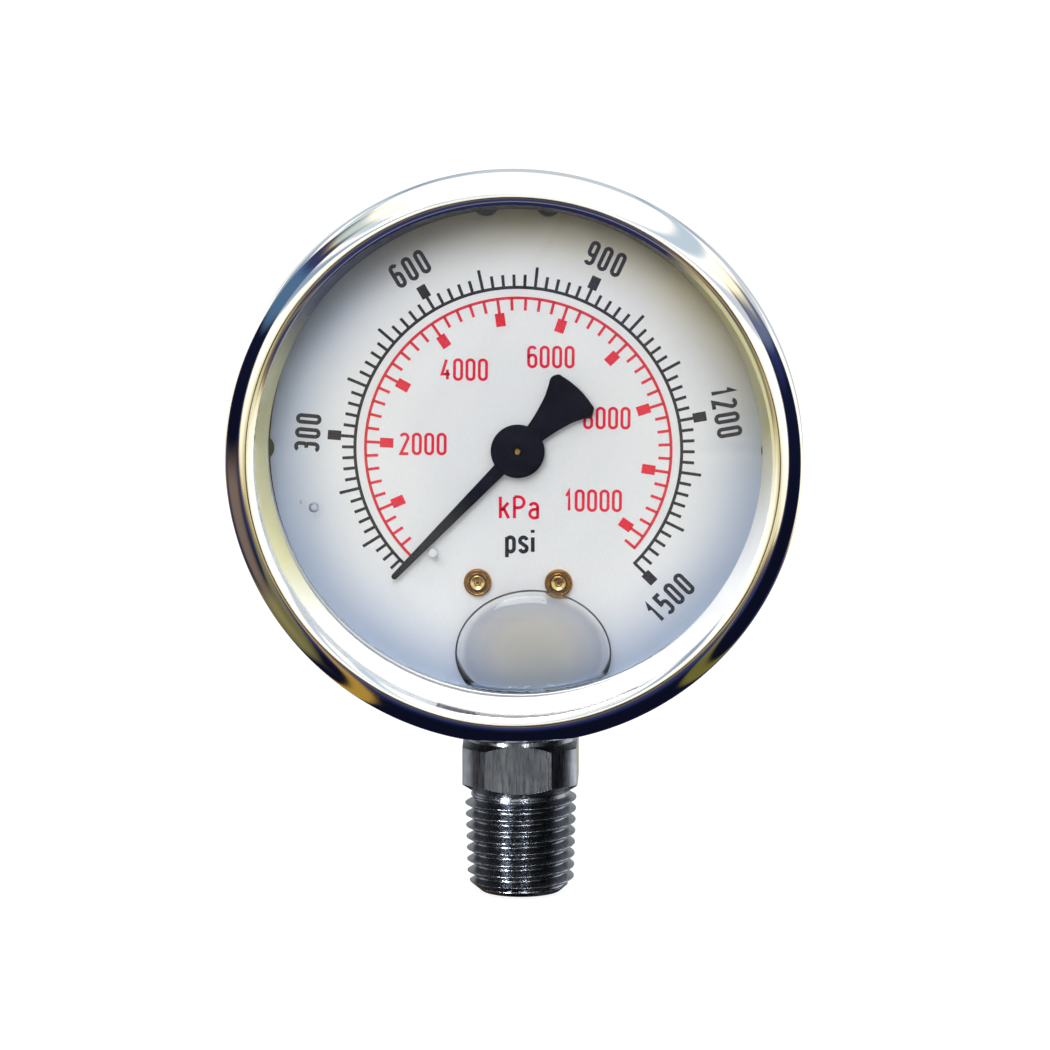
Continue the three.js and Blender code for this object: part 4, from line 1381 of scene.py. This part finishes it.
def room_patches(nodes, direction, color):
    """The room's coloured patches: low on the left, before the window, behind, and round the bezel."""
    def towards(*way):
        return nodes.measure("DOT_PRODUCT", direction, way)

    def within(off, wide, narrow, share):
        """Full inside the narrow angle and nothing outside the wide one, in degrees."""
        return nodes.spread(off, math.cos(math.radians(wide)), math.cos(math.radians(narrow)), 0, share, True)

    left = nodes.spread(towards(-1, 0, 0), 0.55, 0.9, 0, 0.85, True)
    low = nodes.spread(towards(0, 0, -1), 0.08, 0.25, 0, 1, True)
    color = nodes.mix(nodes.math("MULTIPLY", left, low), color, (0.22, 0.16, 0.13))
    eye = camera_direction()
    seen_in_window = within(towards(-eye.x, eye.y, -eye.z), 4.5, 2.8, 0.97)
    color = nodes.mix(seen_in_window, color, (0.01, 0.01, 0.015))
    behind = nodes.spread(towards(0, 1, 0), 0.94, 0.995, 0, 0.6, True)
    color = nodes.mix(behind, color, (0.20, 0.26, 0.36))

    # each by its turn from the top round the bezel, its reach either side, its share and its colour
    flat = nodes.mapped(direction, (1, 0, 1))
    outward = nodes.operate("ShaderNodeVectorMath", "NORMALIZE", [flat])["Vector"]
    for turn, reach, share, shade in (
        (-42, 6, 0.55, (0.20, 0.36, 0.50)),
        (-63, 10, 0.80, (0.10, 0.20, 0.34)),
        (42, 6, 0.60, (0.16, 0.34, 0.52)),
        (66, 9, 0.55, (0.20, 0.26, 0.40)),
        (-150, 3.5, 0.6, (0.70, 0.42, 0.06)),
        (-133, 9, 0.35, (0.45, 0.42, 0.12)),
        (147, 4.5, 0.35, (0.42, 0.38, 0.06)),
    ):
        angle = math.radians(turn)
        off = nodes.measure("DOT_PRODUCT", outward, (math.sin(angle), 0, math.cos(angle)))
        color = nodes.mix(within(off, reach, reach / 3, share), color, shade)
    return color


def soft_glow(nodes, direction):
    """What dull surfaces get from the room: warm and dark below, bright and cool above and right."""
    bands = [
        (-1.0, (0.03, 0.025, 0.01)),
        (-0.2, (0.13, 0.11, 0.06)),
        (0.35, (0.45, 0.45, 0.42)),
        (0.95, (0.88, 1.0, 1.2)),
    ]
    level = nodes.measure("DOT_PRODUCT", direction, (0.38, -0.25, 0.86))
    stops = [((level_at + 1) / 2, color) for level_at, color in bands]
    return nodes.ramp(nodes.math("ADD", nodes.math("MULTIPLY", level, 0.5), 0.5), *stops)


def build_world():
    """White to the camera, a soft glow to dull surfaces, and a patched room for polished metal to mirror."""
    world = bpy.data.worlds.new("studio")
    bpy.context.scene.world = world
    world.use_nodes = True
    world.node_tree.nodes.clear()
    nodes = Nodes(world.node_tree)
    direction = nodes.add("ShaderNodeTexCoord").outputs["Generated"]
    room_color = room_patches(nodes, direction, room_bands(nodes, direction))
    room = nodes.add("ShaderNodeBackground", Color=room_color)
    glow = nodes.add("ShaderNodeBackground", Color=soft_glow(nodes, direction), Strength=DIFFUSE_SHARE)
    white = nodes.add("ShaderNodeBackground", Color=(1, 1, 1))
    path = nodes.add("ShaderNodeLightPath").outputs
    indirect = nodes.mix_shaders(path["Is Diffuse Ray"], room, glow)
    everything = nodes.mix_shaders(path["Is Camera Ray"], indirect, white)
    nodes.add("ShaderNodeOutputWorld", Surface=everything.outputs["Shader"])


def add_light(name, place, target, width, height, energy, color=(1, 1, 1), only=None):
    """A soft rectangular lamp, which may light only the piece of one name."""
    data = bpy.data.lights.new(name, "AREA")
    data.shape = "RECTANGLE"
    data.size = width
    data.size_y = height
    data.energy = energy
    data.color = color
    light = bpy.data.objects.new(name, data)
    bpy.context.scene.collection.objects.link(light)
    light.location = place
    light.rotation_euler = (Vector(target) - Vector(place)).to_track_quat("-Z", "Y").to_euler()
    if only:
        lit = bpy.data.collections.new("lit_by_" + name)
        lit.objects.link(bpy.data.objects[only])
        light.light_linking.receiver_collection = lit


def build_lights():
    """A key lamp for everything, upright strips for the stem, and a lamp above for the bezel's foot."""
    add_light("key", (-0.13, -0.95, 0.50), (0, 0, SPINDLE_Z * MM), 0.35, 0.35, 3.3, (1, 0.99, 0.97))
    for name, azimuth, width, energy in (
        ("strip_left", -36, 0.016, 36.0),
        ("strip_right", 12, 0.010, 9.0),
        ("side_left", -112, 0.25, 3.2),
        ("side_right", 116, 0.25, 7.0),
    ):
        turn = math.radians(azimuth)
        place = (STRIP_DISTANCE * math.sin(turn), -STRIP_DISTANCE * math.cos(turn), STRIP_AIM[2])
        add_light(name, place, STRIP_AIM, width, STRIP_HEIGHT, energy, only="threaded_stem")
    foot = (0, BEZEL_LOW.y * MM, (CASE_Z - LIP_R) * MM)
    add_light("bezel_top", (0, -0.25, 0.75), foot, 0.4, 0.4, 7.0, only="bezel")


bpy.context.scene.view_settings.view_transform = "Standard"
build_camera()
build_floor()
build_world()
paint_cad_nodes()
build_bezel()
build_case()
build_window()
build_gasket()
build_fill_plug()
build_dial()
build_psi_scale()
build_kpa_scale()
build_dial_screws()
build_stop_pin()
build_pointer()
build_hub()
build_arbor_end()
build_bubble()
build_small_bubbles()
build_stem()
build_block()
build_bourdon_tube()
build_lights()
